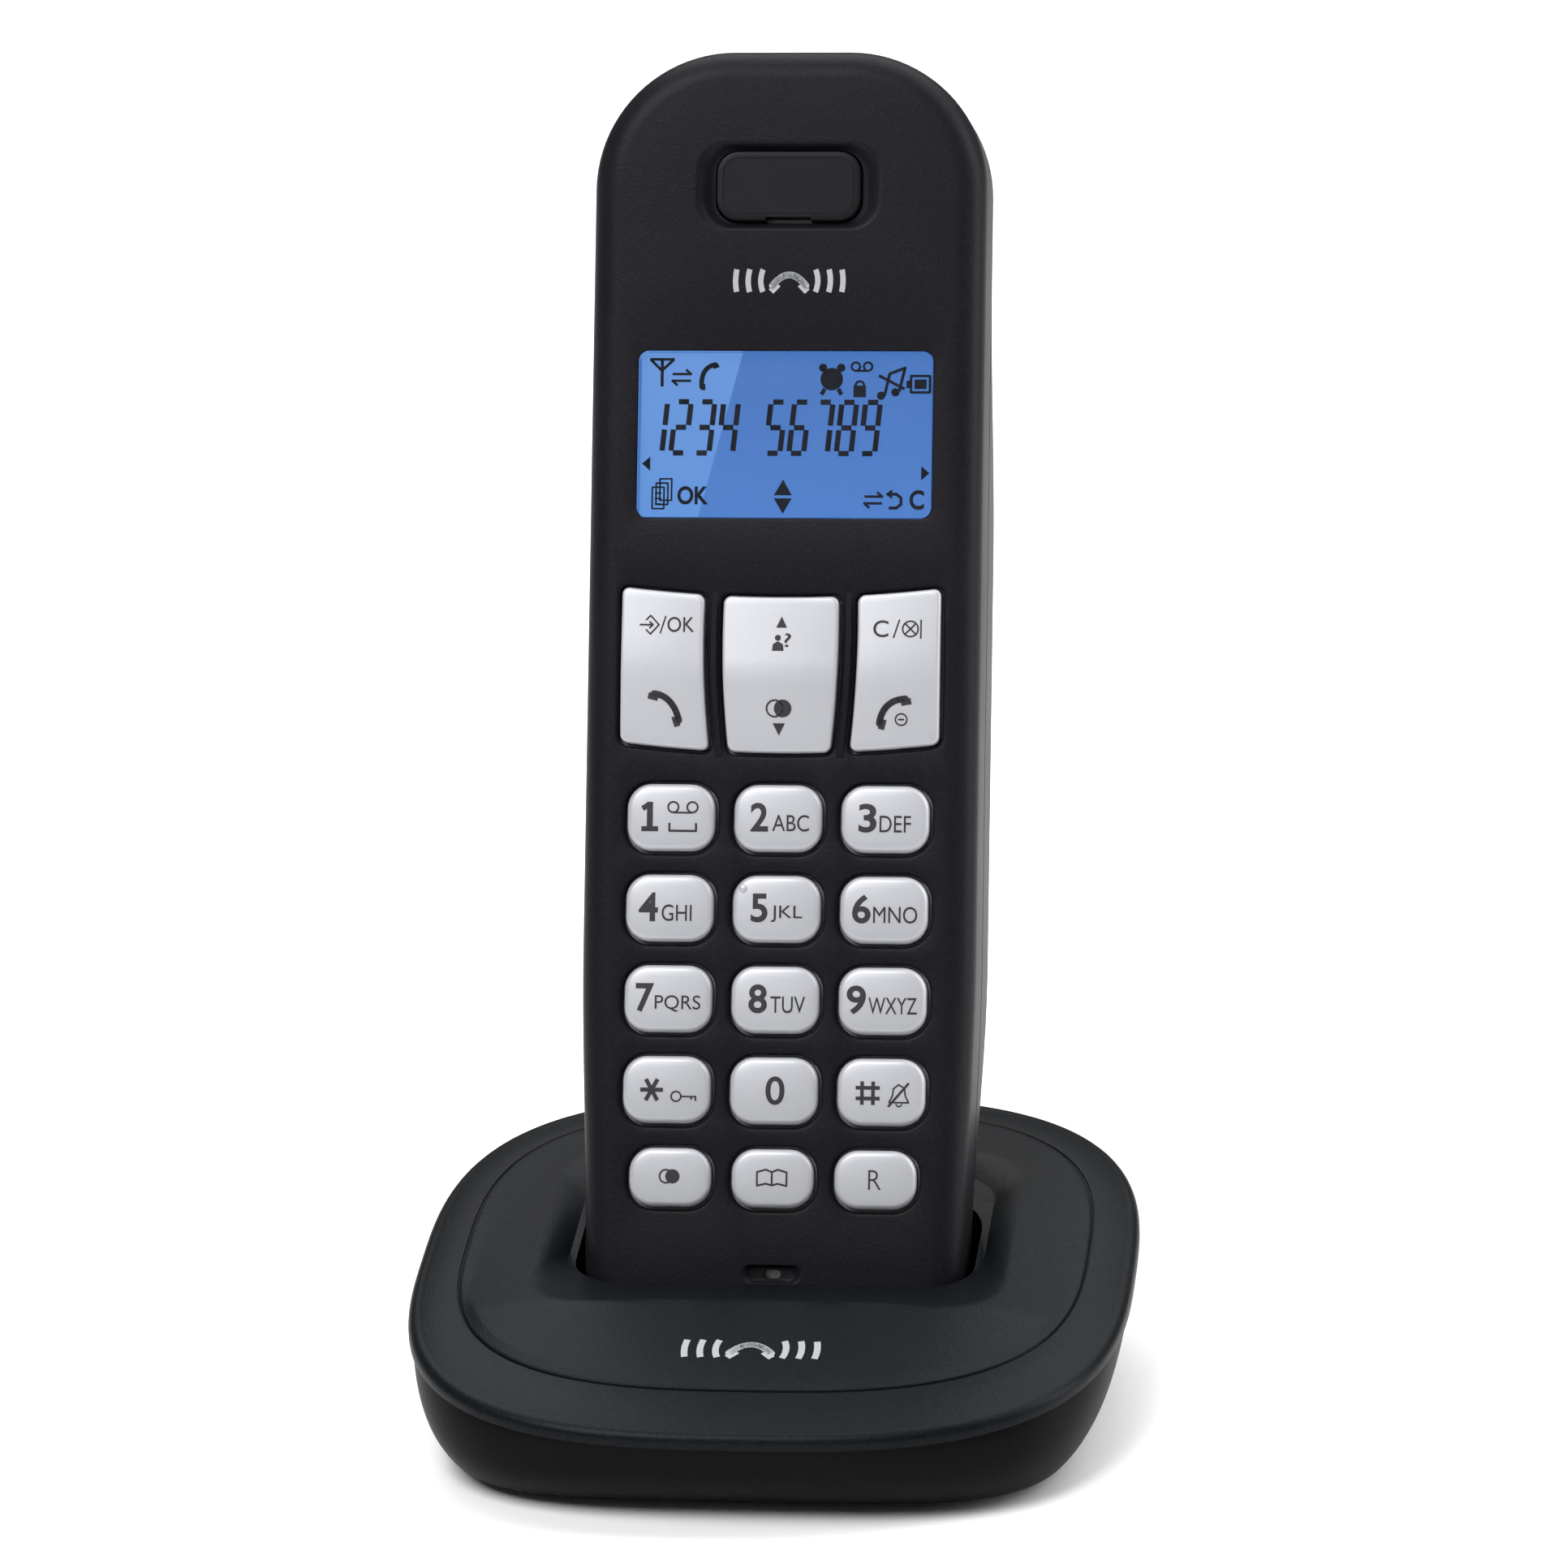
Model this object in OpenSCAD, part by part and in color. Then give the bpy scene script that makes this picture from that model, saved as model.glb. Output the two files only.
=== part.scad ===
// Cordless telephone: a slim handset that stands, leaning back, in a desk cradle.
// Millimetres. X runs across, Y from front to back, Z up. The origin is on the table,
// under the middle of the cradle.
//
// The handset is drawn in its own frame and placed by in_handset(): X across, Y into the
// handset from its face, Z along it from its foot.

/* [Handset body] */
// Width of the handset
hand_w = 46.8; // [45:0.2:57]
// Depth of the handset over the battery cells
hand_t = 25; // [24:0.5:30]
// Depth of the handset at its top end
head_t = 17.5; // [17:0.5:23]
// Depth of the handset at its foot
foot_t = 18; // [17:0.5:21.5]
// How far each side draws in towards the foot
foot_in = 0.9; // [0:0.1:1.5]
// Corner radius at the top, seen from the front
head_r = 16.5; // [12:0.5:19.5]
// Corner radius at the foot, seen from the front
foot_r = 8; // [7:0.5:9.5]
// Rounding of the edge round the face
front_edge = 3.6; // [2.5:0.1:4.2]
// Rounding of the edge round the back
back_edge = 6; // [4.5:0.25:6.75]
// Wall of the handset's shells
hand_wall = 1.8; // [1.5:0.1:2.2]
// Depth below the face at which the two shells meet
hand_seam = 11; // [10:0.5:11.5]

/* [Keypad] */
// Width of a number key
key_w = 10.4; // [9:0.1:11.6]
// Height of a number key
key_h = 7.9; // [6.6:0.1:9.4]
// Corner radius of the keys
key_r = 3.2; // [2.2:0.1:3.3]
// How far the keys stand above the face
key_proud = 1; // [0.8:0.1:1.4]
// Travel of a key
key_travel = 0.8; // [0.5:0.1:0.9]
// Gap round a key in its opening
key_gap = 0.35; // [0.25:0.05:0.45]
// Distance between key columns
key_pitch_x = 12.7; // [12.7:0.1:14]
// Distance between key rows
key_pitch_z = 10.7; // [10.7:0.1:13]
// Foot of the handset to the middle of the lowest key row
key_foot = 18.3; // [18.3:0.1:22]
// Width of a key in the lowest row
low_key_w = 9.7; // [8.5:0.1:10.8]
// Height of a key in the lowest row
low_key_h = 6.9; // [6.7:0.1:7.6]
// Half width of the block of three rocker keys
nav_half = 18.9; // [17.5:0.1:19.3]
// Height of the rocker keys
nav_h = 18.4; // [17:0.1:22]
// Number keys to rocker keys
nav_space = 3.8; // [3.4:0.1:6]
// How far the outer ends of the block of rockers stand higher than its middle
nav_rise = 1.15; // [0:0.05:1.4]
// Width of the bars between the rocker keys
nav_bar = 2.3; // [2:0.1:2.8]
// Half the height of the ridge across the rocker keys
nav_ridge = 0.7; // [0.3:0.1:0.8]
// Tilt of a rocker key each way, in degrees
nav_tilt = 3; // [1:0.5:3]

/* [Display and earpiece] */
// Width of the display window
window_w = 35.2; // [30:0.1:36.5]
// Height of the display window
window_h = 20; // [17:0.1:24]
// Corner radius of the display window
window_r = 1.2; // [0.6:0.1:2]
// Rocker keys to display window
window_space = 9.4; // [9:0.1:14]
// Display window to the middle of the earpiece
ear_space = 19.6; // [18.5:0.1:25]
// Middle of the earpiece to the top of the handset
ear_head = 16.4; // [14:0.1:19.5]
// Width of the earpiece cap
ear_w = 17.2; // [15:0.1:20]
// Height of the earpiece cap
ear_h = 8.3; // [7:0.1:9.9]
// Width of the sloping border round the earpiece cap
ear_border = 2; // [1.2:0.1:2.4]
// Depth of the earpiece recess
ear_deep = 1.1; // [0.6:0.1:1.3]

/* [Battery] */
// Diameter of an AAA cell
cell_d = 10.5; // [10:0.1:10.8]
// Length of an AAA cell with its tip
cell_l = 44.5; // [40:0.5:50]
// Width of the battery door
door_w = 35; // [32:0.5:35]
// Thickness of the battery door
door_t = 1.8; // [1.5:0.1:2]
// Length of the battery door
door_l = 55; // [52:0.5:55]
// Foot of the handset to the lower edge of the battery door
door_foot = 45; // [45:0.5:47]

/* [Cradle] */
// Width of the cradle
base_w = 85; // [80:0.5:102]
// Depth of the cradle, front to back
base_d = 88; // [86:0.5:106]
// Squareness of the cradle's outline: 2 is an ellipse, more is squarer
base_form = 2.9; // [2.4:0.1:4]
// Squareness of the outline where the cradle stands
plinth_form = 4.7; // [3:0.1:6]
// How far the sides draw in towards the table
plinth_in = 6.8; // [3:0.2:8]
// How far the front and back draw in towards the table
plinth_in_d = 9.8; // [5:0.2:11]
// Height of the seam above the table at the middle of the cradle
seam_h = 16.1; // [15.6:0.1:19.3]
// Slope of the seam, rising towards the back, in degrees
seam_tilt = 7.6; // [6:0.1:9]
// Height of the cover's rolled edge above the seam
lip_h = 1.8; // [1.4:0.1:2.2]
// Width of the cover's smooth border at the sides
band_side = 5.5; // [4.5:0.1:6.6]
// Width of the cover's smooth border at the front
band_front = 9; // [7.5:0.1:10.8]
// Width of the cover's smooth border at the back
band_back = 6; // [5:0.1:7.2]
// Height of the raised panel's border above the seam
panel_h = 2.6; // [2.2:0.1:3.1]
// Height of the front crest above the seam
crest_h = 5.2; // [4.4:0.1:6.2]
// Half length of the front crest
crest_half = 24; // [20:0.5:28]
// Depth of the shelf between the crest and the handset's face
shelf_d = 11.5; // [10:0.5:12.5]
// Wall of the cradle's shells
base_wall = 1.8; // [1.5:0.1:2.2]
// Thickness of the rubber feet below the cradle
pad_h = 0.8; // [0.6:0.1:1.2]

/* [Dock] */
// Lean of the handset from upright, in degrees
lean = 19.8; // [17:0.2:22]
// Foot of the handset's face from the middle of the cradle
dock_y = -8.5; // [-10:0.1:-7.5]
// Gap round the handset in its pocket
dock_gap = 1.2; // [0.8:0.05:1.3]
// Wall of the pocket
cup_wall = 1.6; // [1.3:0.1:1.9]
// Room under the pocket
cup_room = 1.4; // [1.4:0.1:2.4]
// Width of the flare at the sides and back of the pocket
flare_w = 3.6; // [3:0.1:4.4]
// Half the distance between the charging contacts
contact_x = 9; // [7.5:0.5:11]
// Width of a charging contact
contact_w = 2.6; // [2.2:0.1:3.2]

/* [Rear sockets] */
// Middle of the cradle to the flat of the socket bay
bay_y = 33; // [33:0.5:34]
// Half the distance between the line and power sockets
socket_x = 14; // [13:0.5:16]
// Width of the line socket
line_w = 12; // [11:0.1:13]
// Height of the line socket
line_h = 11; // [10:0.1:11.5]
// Width of the power socket
power_w = 9; // [8.4:0.1:10.8]
// Radius of the power socket's mouth
power_r = 3.1; // [2.75:0.05:3.5]
// Radius of the power socket's centre pin
pin_r = 1; // [0.9:0.05:1.2]
// Radius of the page button
page_r = 3; // [2.5:0.1:3.6]
// Travel of the page button
page_travel = 0.8; // [0.5:0.1:1]

/* [Hidden] */

tiny = 0.05;            // clearance between pieces that seat on each other
fit_gap = 0.2;          // clearance round a piece that drops into an opening
far = 200;              // longer than anything that is cut

// Colours
shell_black = [0.13, 0.125, 0.14];
cradle_black = [0.09, 0.10, 0.115];
key_silver = [0.80, 0.80, 0.83];
board_green = [0.08, 0.32, 0.18];
metal = [0.75, 0.75, 0.72];
gold = [0.83, 0.66, 0.28];
soft_grey = [0.35, 0.35, 0.36];

// Heights along the handset, from its foot
low_gap_z = key_h / 2 + low_key_h / 2 + (key_pitch_z - key_h) + 0.1;
row_z = [for (row = [0:4]) row == 4 ? key_foot : key_foot + low_gap_z + (3 - row) * key_pitch_z];
nav_z = row_z[0] + key_h / 2 + nav_space + nav_h / 2;
window_z = nav_z + nav_h / 2 + window_space + window_h / 2;
ear_z = window_z + window_h / 2 + ear_space;
hand_l = ear_z + ear_head;
mic_z = 7.1;
door_end = door_foot + door_l;

// Layers behind the face
flange_y = hand_wall + 0.4;
flange_t = 0.8;
flange_lip = 0.5;
flange_back = flange_y + flange_t;
mat_y = flange_back + key_travel + 0.3;
mat_t = 1.6;
board_y = mat_y + mat_t;
board_t = 1.2;
board_back = board_y + board_t;
board_w = hand_w - 2 * hand_wall - 3.4;
board_z0 = mic_z + 6.5;
board_z1 = ear_z - 11;
dome_h = 0.35;
dome_r = 2.2;
plunger_r = 1.3;
plunger_end = board_y - dome_h - key_travel - 0.1;
mat_hole_r = dome_r + 0.4;

// Rockers
nav_in = nav_half * 0.32;                       // half width of the middle rocker, at its foot
nav_in_top = nav_in + 0.75;
nav_column = (nav_half + nav_in + nav_bar) / 2; // middle of an outer rocker
nav_plunger_z = nav_h / 2 - 3;
rocker_sweep = nav_plunger_z * sin(nav_tilt);
nav_flange_y = hand_wall + (nav_h / 2 + flange_lip) * sin(nav_tilt) + 0.3;

// Battery bay
door_y = hand_t - door_t;
cell_y = door_y - 0.2 - 0.6 - cell_d / 2;
cell_x = cell_d / 2 + 0.4;
tray_wall = 1.2;
tray_half = cell_d + 0.9 + tray_wall;
tray_y = cell_y - cell_d / 2 - 0.4;
tray_z0 = door_foot + 2.5;
tray_l = cell_l + 5;
cell_z = tray_z0 + (tray_l - cell_l) / 2;

// Ringer, above the battery door
ringer_z = door_end + 17;

// Charging contacts and the pads they bear on
contact_y = front_edge + 2.4;
contact_t = 1.2;
contact_len = 4.2;
pad_w = 4.4;
pad_d = 4.4;

// Screws of the handset: [x, z] and the depth of the head's seat
hand_screw_r = 0.8;
hand_screws = [
    [15.8, row_z[0] + key_h / 2 + nav_space + nav_h + 4.7, door_y - 1.6],
    [14, 10.8, foot_t - 1.7]
];

// Place of the handset in the cradle: the pocket's lowest point clears the floor by cup_room
cup_out = dock_gap + cup_wall;
cup_low = (foot_r - back_edge) * cos(lean) + back_edge + cup_out
    + (foot_t - back_edge) * sin(lean) - foot_r * cos(lean);
floor_z = pad_h + base_wall;
dock_z = floor_z + cup_room + cup_low;

// Outlines of the cradle
rim_len = base_d / cos(seam_tilt);
plinth_y = -1.8;
plinth_w = base_w - 2 * plinth_in;
plinth_d = base_d - 2 * plinth_in_d;
shadow_gap = 0.5;                                // the lower shell sits in by this at the seam
panel_w = base_w - 2 * band_side;
panel_d = base_d - band_front - band_back;
panel_y = (band_front - band_back) / 2;
mouth_y = dock_y + 2.2;
crest_y = mouth_y - shelf_d;
mouth_h = 2;                                     // pocket's mouth above the seam
flare_tilt = -2.8;                               // slope of the flare's top to the seam

// Sockets at the back
board_z = floor_z + 2;
base_board_t = 1.2;
socket_z = board_z + base_board_t;
line_d = 12.6;
line_wires = 4;
power_d = 12;
power_h = 10.4;
bay_half = socket_x + line_w / 2 + 3.4;
bay_low = floor_z + 0.7;
bay_high = socket_z + line_h + 1;
bay_wall = 1.4;
page_z = socket_z + 5.2;
power_z = socket_z + 5.4;

// Feet and screws of the cradle
pad_r = 4.5;
pads = [[24, -25], [24, 21]];
base_screw_r = 1.3;
base_posts = [[30.5, -12], [30.5, 8]];
post_r = 3;
post_h = 7;              // height at which the posts of the two shells meet

$fn = 48;

// ---- Helpers ------------------------------------------------------------------------

function signed_power(value, power) = sign(value) * pow(abs(value), power);

// A squared ellipse with w across and d deep
function squircle(w, d, form, steps = 60) = [
    for (i = [0:steps - 1]) let (a = 360 * i / steps)
        [w / 2 * signed_power(cos(a), 2 / form), d / 2 * signed_power(sin(a), 2 / form)]
];

// A plate of the outline, its underside at z
module slab(points, z = 0, t = 0.2) {
    translate([0, 0, z]) linear_extrude(t) polygon(points);
}

module rounded_rect(w, h, r) {
    square([w - 2 * r, h], center = true);
    square([w, h - 2 * r], center = true);
    for (x = [-1, 1], y = [-1, 1]) translate([x * (w / 2 - r), y * (h / 2 - r)]) circle(r);
}

// A flat piece parallel to the handset's face, from depth y0 to depth y1
module face_plate(y0, y1, x = 0, z = 0) {
    translate([x, y1, z]) rotate([90, 0, 0]) linear_extrude(y1 - y0) children();
}

// A round piece square to the face, from depth y0 to depth y1
module face_pin(r, y0, y1, x = 0, z = 0) {
    translate([x, y1, z]) rotate([90, 0, 0]) cylinder(r = r, h = y1 - y0);
}

// A hulled opening square to the face
module face_opening(w, h, r, x, z, grow = 0, back = 0) {
    hull() for (sx = [-1, 1], sz = [-1, 1])
        face_pin(r, -4, hand_wall + back + 1,
            x + sx * (w / 2 + grow - r), z + sz * (h / 2 + grow - r), $fn = 32);
}

module in_handset() {
    translate([0, dock_y, dock_z]) rotate([-lean, 0, 0]) children();
}

module on_seam() {
    translate([0, 0, seam_h]) rotate([seam_tilt, 0, 0]) children();
}

// ---- Forms --------------------------------------------------------------------------

// A disc with a rounded edge, square to the face, centred at depth y
module edge_disc(corner_r, edge_r, x, y, z) {
    steps = 6;
    round_edge = [for (i = [0:steps]) let (a = -90 + 180 * i / steps)
        [corner_r - edge_r + edge_r * cos(a), edge_r * sin(a)]];
    translate([x, y, z]) rotate([90, 0, 0])
        rotate_extrude($fn = 28) polygon(concat(round_edge, [[0, edge_r], [0, -edge_r]]));
}

// The edge discs that round the corners of a part of the handset w wide and t deep
module corner_column(w, corner_r, t, z, grow) {
    x = w / 2 - corner_r;
    for (side = [-1, 1]) {
        edge_disc(corner_r + grow, front_edge + grow, side * x, front_edge, z);
        edge_disc(corner_r + grow, back_edge + grow, side * x, t - back_edge, z);
    }
}

// The outer form of the handset, grown by grow all round, or shrunk if it is negative
module handset_form(grow = 0) {
    hull() {
        corner_column(hand_w, head_r, head_t, hand_l - head_r, grow);
        corner_column(hand_w - 2 * foot_in, foot_r, foot_t, foot_r, grow);
        corner_column(hand_w, foot_r, hand_t, door_foot, grow);
        corner_column(hand_w, foot_r, hand_t, door_end - foot_r, grow);
    }
}

// The lower part of the handset's form, which the pocket follows
module pocket_form(grow) {
    hull() {
        corner_column(hand_w - 2 * foot_in, foot_r, foot_t, foot_r, grow);
        corner_column(hand_w, foot_r, hand_t, door_foot, grow);
    }
}

// The lower shell of the cradle, drawn in by inset, from the height floor to rise above the seam
module plinth_form_solid(inset, floor, rise) {
    bulge = 1.2;
    middle_h = 0.5;
    hull() {
        translate([0, plinth_y, floor])
            slab(squircle(plinth_w - 2 * inset, plinth_d - 2 * inset, plinth_form));
        translate([0, plinth_y * middle_h, pad_h + (seam_h - pad_h) * 0.42])
            rotate([seam_tilt * 0.6, 0, 0])
            slab(squircle(base_w - plinth_in + bulge - 2 * inset,
                base_d - plinth_in_d + bulge - 2 * inset, (base_form + plinth_form) / 2));
        on_seam() slab(squircle(base_w - 2 * (shadow_gap + inset),
            rim_len - 2 * (shadow_gap + inset), base_form), z = rise - 0.2);
    }
}

// The border of the cover: rolled edge and smooth band
module cover_band(inset, drop) {
    on_seam() hull() {
        slab(squircle(base_w - 2 * inset, rim_len - 2 * inset, base_form), z = -drop, t = lip_h / 2);
        slab(squircle(base_w - lip_h - 2 * inset, rim_len - lip_h - 2 * inset, base_form),
            z = lip_h - drop - 0.2);
        translate([0, panel_y, 0])
            slab(squircle(panel_w - 2 * inset, panel_d - 2 * inset, base_form),
                z = panel_h - drop - 0.2);
    }
}

// The raised panel of the cover, with its crest in front of the pocket
module cover_panel(inset, drop) {
    step_in = 0.25;
    step_h = 0.2;
    on_seam() hull() {
        translate([0, panel_y, 0])
            slab(squircle(panel_w - 2 * (inset + step_in), panel_d - 2 * (inset + step_in),
                base_form), z = panel_h - drop - 1, t = 1 + step_h);
        translate([inset - crest_half, crest_y - 0.5, crest_h - drop - 0.1])
            cube([2 * (crest_half - inset), 1, 0.1]);
    }
}

// The flare round the pocket's mouth, or its backing when it is grown
module mouth_flare(grow) {
    back_y = mouth_y + (hand_t + 2) / cos(lean);
    front_y = crest_y + 0.9;
    reach = hand_w / 2 + dock_gap;
    on_seam() hull() {
        for (side = [-1, 1], y = [mouth_y - dock_gap + foot_r, back_y - foot_r])
            translate([side * (reach - foot_r), y, mouth_h - grow])
                cylinder(r = foot_r + grow, h = 0.1, $fn = 28);
        for (side = [-1, 1], y = [front_y + foot_r, back_y + flare_w - foot_r])
            translate([side * (reach + flare_w - foot_r), y,
                crest_h + 0.1 + (y - crest_y) * sin(flare_tilt) - grow * 0.4])
                cylinder(r = foot_r + grow, h = 6, $fn = 28);
    }
}

// ---- Cradle -------------------------------------------------------------------------

module base_bottom_shell() color(shell_black) {
    difference() {
        union() {
            difference() {
                plinth_form_solid(0, pad_h, -tiny);
                plinth_form_solid(base_wall, floor_z, 1);
                translate([-bay_half, bay_y, bay_low]) cube([2 * bay_half, far, bay_high - bay_low]);
            }
            intersection() {
                plinth_form_solid(0, pad_h, -tiny);
                difference() {
                    translate([-bay_half - bay_wall, bay_y - bay_wall, pad_h])
                        cube([2 * (bay_half + bay_wall), far, bay_high + bay_wall - pad_h]);
                    translate([-bay_half, bay_y, bay_low])
                        cube([2 * bay_half, far, bay_high - bay_low]);
                }
            }
            for (side = [-1, 1], post = base_posts) translate([side * post[0], post[1], pad_h])
                cylinder(r = post_r, h = post_h);
        }
        base_openings();
    }
}

// Everything that is cut from the lower shell
module base_openings() {
    translate([-socket_x - line_w / 2 - fit_gap, bay_y - 5, socket_z - fit_gap])
        cube([line_w + 2 * fit_gap, 10, line_h + 2 * fit_gap]);
    translate([socket_x - power_w / 2 - fit_gap, bay_y - 5, socket_z - fit_gap])
        cube([power_w + 2 * fit_gap, 10, power_h + 2 * fit_gap]);
    translate([0, bay_y + 5, page_z]) rotate([90, 0, 0]) cylinder(r = page_r + key_gap, h = 10);
    for (side = [-1, 1]) {
        for (pad = pads) translate([side * pad[0], pad[1], 0])
            cylinder(r = pad_r + fit_gap, h = pad_h + 0.7);
        for (post = base_posts) translate([side * post[0], post[1], 0]) {
            cylinder(r = base_screw_r + fit_gap, h = 20);
            cylinder(r = 2 * base_screw_r + fit_gap, h = pad_h + 1.8);
        }
    }
}

module base_top_cover() color(cradle_black) {
    difference() {
        union() {
            difference() {
                cover_solid();
                cover_band(base_wall, base_wall);
                cover_panel(base_wall, base_wall);
            }
            intersection() {
                cover_solid();
                mouth_flare(base_wall);
            }
            intersection() {
                union() {
                    in_handset() pocket_form(cup_out);
                    for (side = [-1, 1], post = base_posts)
                        translate([side * post[0], post[1], pad_h + post_h + tiny])
                            cylinder(r = post_r, h = far);
                }
                under_cover();
            }
        }
        mouth_flare(0);
        difference() {
            in_handset() pocket_form(dock_gap);
            seat_ribs();
        }
        for (side = [-1, 1]) {
            contact_slot(side);
            for (post = base_posts) translate([side * post[0], post[1], pad_h])
                cylinder(r = base_screw_r + tiny, h = seam_h - pad_h - 3);
        }
    }
}

module cover_solid() {
    cover_band(0, 0);
    cover_panel(0, 0);
}

// The space below the cover's surface
module under_cover() {
    cover_solid();
    on_seam() translate([-panel_w / 2 + 3, -panel_d / 2 + 3, -seam_h - 6])
        cube([panel_w - 6, panel_d - 6, seam_h + 7]);
}

// Two ribs on the pocket's floor that the handset's foot stands on
module seat_ribs() {
    in_handset() for (x = [-3, 3])
        translate([x - 0.6, front_edge + 1, -dock_gap - 1]) cube([1.2, 7, dock_gap + 1 - tiny]);
}

module contact_slot(side) {
    in_handset() translate([side * contact_x - contact_w / 2 - fit_gap, contact_y - fit_gap, -7])
        cube([contact_w + 2 * fit_gap, contact_t + 2 * fit_gap, 6.6]);
}

// A charging contact: a folded strip with a rounded nose that bears on the handset's pad
module charge_contact(side) color(gold) in_handset() {
    nose_r = contact_t / 2;
    translate([side * contact_x - contact_w / 2, contact_y, -contact_len - 0.15])
        cube([contact_w, contact_t, contact_len - nose_r]);
    translate([side * contact_x - contact_w / 2, contact_y + nose_r, -0.15 - nose_r])
        rotate([0, 90, 0]) cylinder(r = nose_r, h = contact_w);
}

module charge_contact_left() charge_contact(-1);
module charge_contact_right() charge_contact(1);

module rubber_feet() color(soft_grey)
    for (side = [-1, 1], pad = pads) translate([side * pad[0], pad[1], 0])
        cylinder(r = pad_r, h = pad_h + 0.7 - tiny);

module base_screws() color(metal)
    for (side = [-1, 1], post = base_posts) translate([side * post[0], post[1], 0]) difference() {
        union() {
            translate([0, 0, pad_h + 0.4]) cylinder(r = 2 * base_screw_r, h = 1.4 - tiny);
            translate([0, 0, pad_h + 1]) cylinder(r = base_screw_r, h = seam_h - pad_h - 5.5);
        }
        for (turn = [0, 90]) rotate([0, 0, turn])
            translate([-1.4, -0.3, pad_h]) cube([2.8, 0.6, 0.9]);
    }

module base_circuit_board() color(board_green) {
    front_y = bay_y - bay_wall - 18;
    difference() {
        translate([-bay_half, front_y, board_z])
            cube([2 * bay_half, bay_y - bay_wall - tiny - front_y, base_board_t]);
        for (side = [-1, 1], post = base_posts) translate([side * post[0], post[1], 0])
            cylinder(r = post_r + 0.6, h = 20);
    }
}

module base_rf_shield() color(metal)
    translate([-socket_x + line_w / 2 + 1.4, bay_y - bay_wall - 15, socket_z])
        cube([12, 8, 2.6]);

// Two upright printed antennas at the board's ends
module base_antennas() color(gold)
    for (side = [-1, 1])
        translate([side * (bay_half - 1.4) - 0.4, bay_y - bay_wall - 7, socket_z])
            cube([0.8, 6, 7.5]);

module base_capacitors() color(soft_grey)
    for (x = [socket_x - 3, socket_x + 3.4])
        translate([x, bay_y - bay_wall - power_d - 1.6, socket_z]) cylinder(r = 1.5, h = 4);

module line_socket() color(shell_black) difference() {
    translate([-socket_x - line_w / 2, bay_y - line_d, socket_z]) cube([line_w, line_d, line_h]);
    translate([-socket_x - 4.85, bay_y - line_d + 1.6, socket_z + 2]) cube([9.7, far, 6.8]);
    translate([-socket_x - 3, bay_y - 8, socket_z + 1]) cube([6, far, 1.2]);
    translate([-socket_x - 1.6, bay_y - 8, socket_z + 0.4]) cube([3.2, far, 0.8]);
}

module line_socket_contacts() color(gold)
    for (i = [0:line_wires - 1])
        translate([-socket_x + (i - (line_wires - 1) / 2) * 1.02 - 0.2, bay_y - line_d + 1.6,
            socket_z + 8.2]) cube([0.4, 8, 0.6]);

module power_socket() color(shell_black) difference() {
    translate([socket_x - power_w / 2, bay_y - power_d, socket_z]) cube([power_w, power_d, power_h]);
    translate([socket_x, bay_y - power_d + 2, power_z]) rotate([-90, 0, 0])
        cylinder(r = power_r, h = far);
}

module power_socket_pin() color(metal)
    translate([socket_x, bay_y - power_d + 2, power_z]) rotate([-90, 0, 0])
        cylinder(r = pin_r, h = power_d - 2.8);

// The page button: its cap stands out of the bay, its flange stays behind the wall
module page_button() color(soft_grey) translate([0, 0, page_z]) {
    flange = bay_y - bay_wall - 0.2;
    translate([0, bay_y + 1.2, 0]) rotate([90, 0, 0]) cylinder(r = page_r, h = 1.2 + bay_wall + 0.5);
    translate([0, flange, 0]) rotate([90, 0, 0]) cylinder(r = page_r + 0.9, h = 0.8);
}

module page_switch() color(metal) {
    switch_y = bay_y - bay_wall - 0.2 - 0.8 - page_travel - 0.2;
    translate([-3, switch_y - 3.5, socket_z]) cube([6, 3.5, 7.4]);
}

// ---- Handset shells -----------------------------------------------------------------

// Half of the handset's hollow form, on one side of the seam
module hollow_form(y0, y1) {
    intersection() {
        difference() {
            handset_form();
            handset_form(-hand_wall);
        }
        translate([-far / 2, y0, -far / 2]) cube([far, y1 - y0, 2 * far]);
    }
}

module handset_front_shell() color(shell_black) in_handset() difference() {
    union() {
        hollow_form(-1, hand_seam - tiny / 2);
        face_plate(hand_wall / 2, ear_deep + 1.6, z = ear_z)
            rounded_rect(ear_w + 2 * ear_border + 2, ear_h + 2 * ear_border + 1, 2.6);
        for (side = [-1, 1], s = hand_screws)
            face_pin(1.8, hand_wall / 2, hand_seam - tiny, side * s[0], s[1]);
    }
    for (row = [0:4], column = [-1:1])
        face_opening(row_w(row), row_h(row), key_r, column_x(row, column), row_z[row], key_gap);
    for (column = [-1:1]) face_plate(-4, hand_wall + 2) rocker_outline(column, key_gap);
    face_opening(window_w, window_h, window_r, 0, window_z);
    earpiece_recess();
    microphone_opening();
    for (side = [-1, 1], s = hand_screws)
        face_pin(hand_screw_r + tiny, hand_wall + 1, hand_seam + 1, side * s[0], s[1]);
    for (side = [-1, 1]) charge_window(side);
}

// A recess with sloping sides, and the opening that the cap drops into
module earpiece_recess() {
    hull() {
        face_plate(-1.2, -1.1, z = ear_z) rounded_rect(ear_w + 4 * ear_border,
            ear_h + 4 * ear_border, 3.4);
        face_plate(ear_deep - 0.1, ear_deep, z = ear_z)
            rounded_rect(ear_w + 0.6, ear_h + 0.6, 2.8);
    }
    face_opening(ear_w, ear_h, 2.6, 0, ear_z, fit_gap, back = ear_deep + 1);
}

module microphone_opening() {
    hull() {
        face_plate(-1, -0.9, z = mic_z - 0.4) rounded_rect(8.4, 3, 1.4);
        face_plate(0.5, 0.6, z = mic_z) rounded_rect(4.6, 1.5, 0.7);
    }
    face_plate(-1, 4, z = mic_z) rounded_rect(2.1, 1, 0.45);
}

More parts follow.
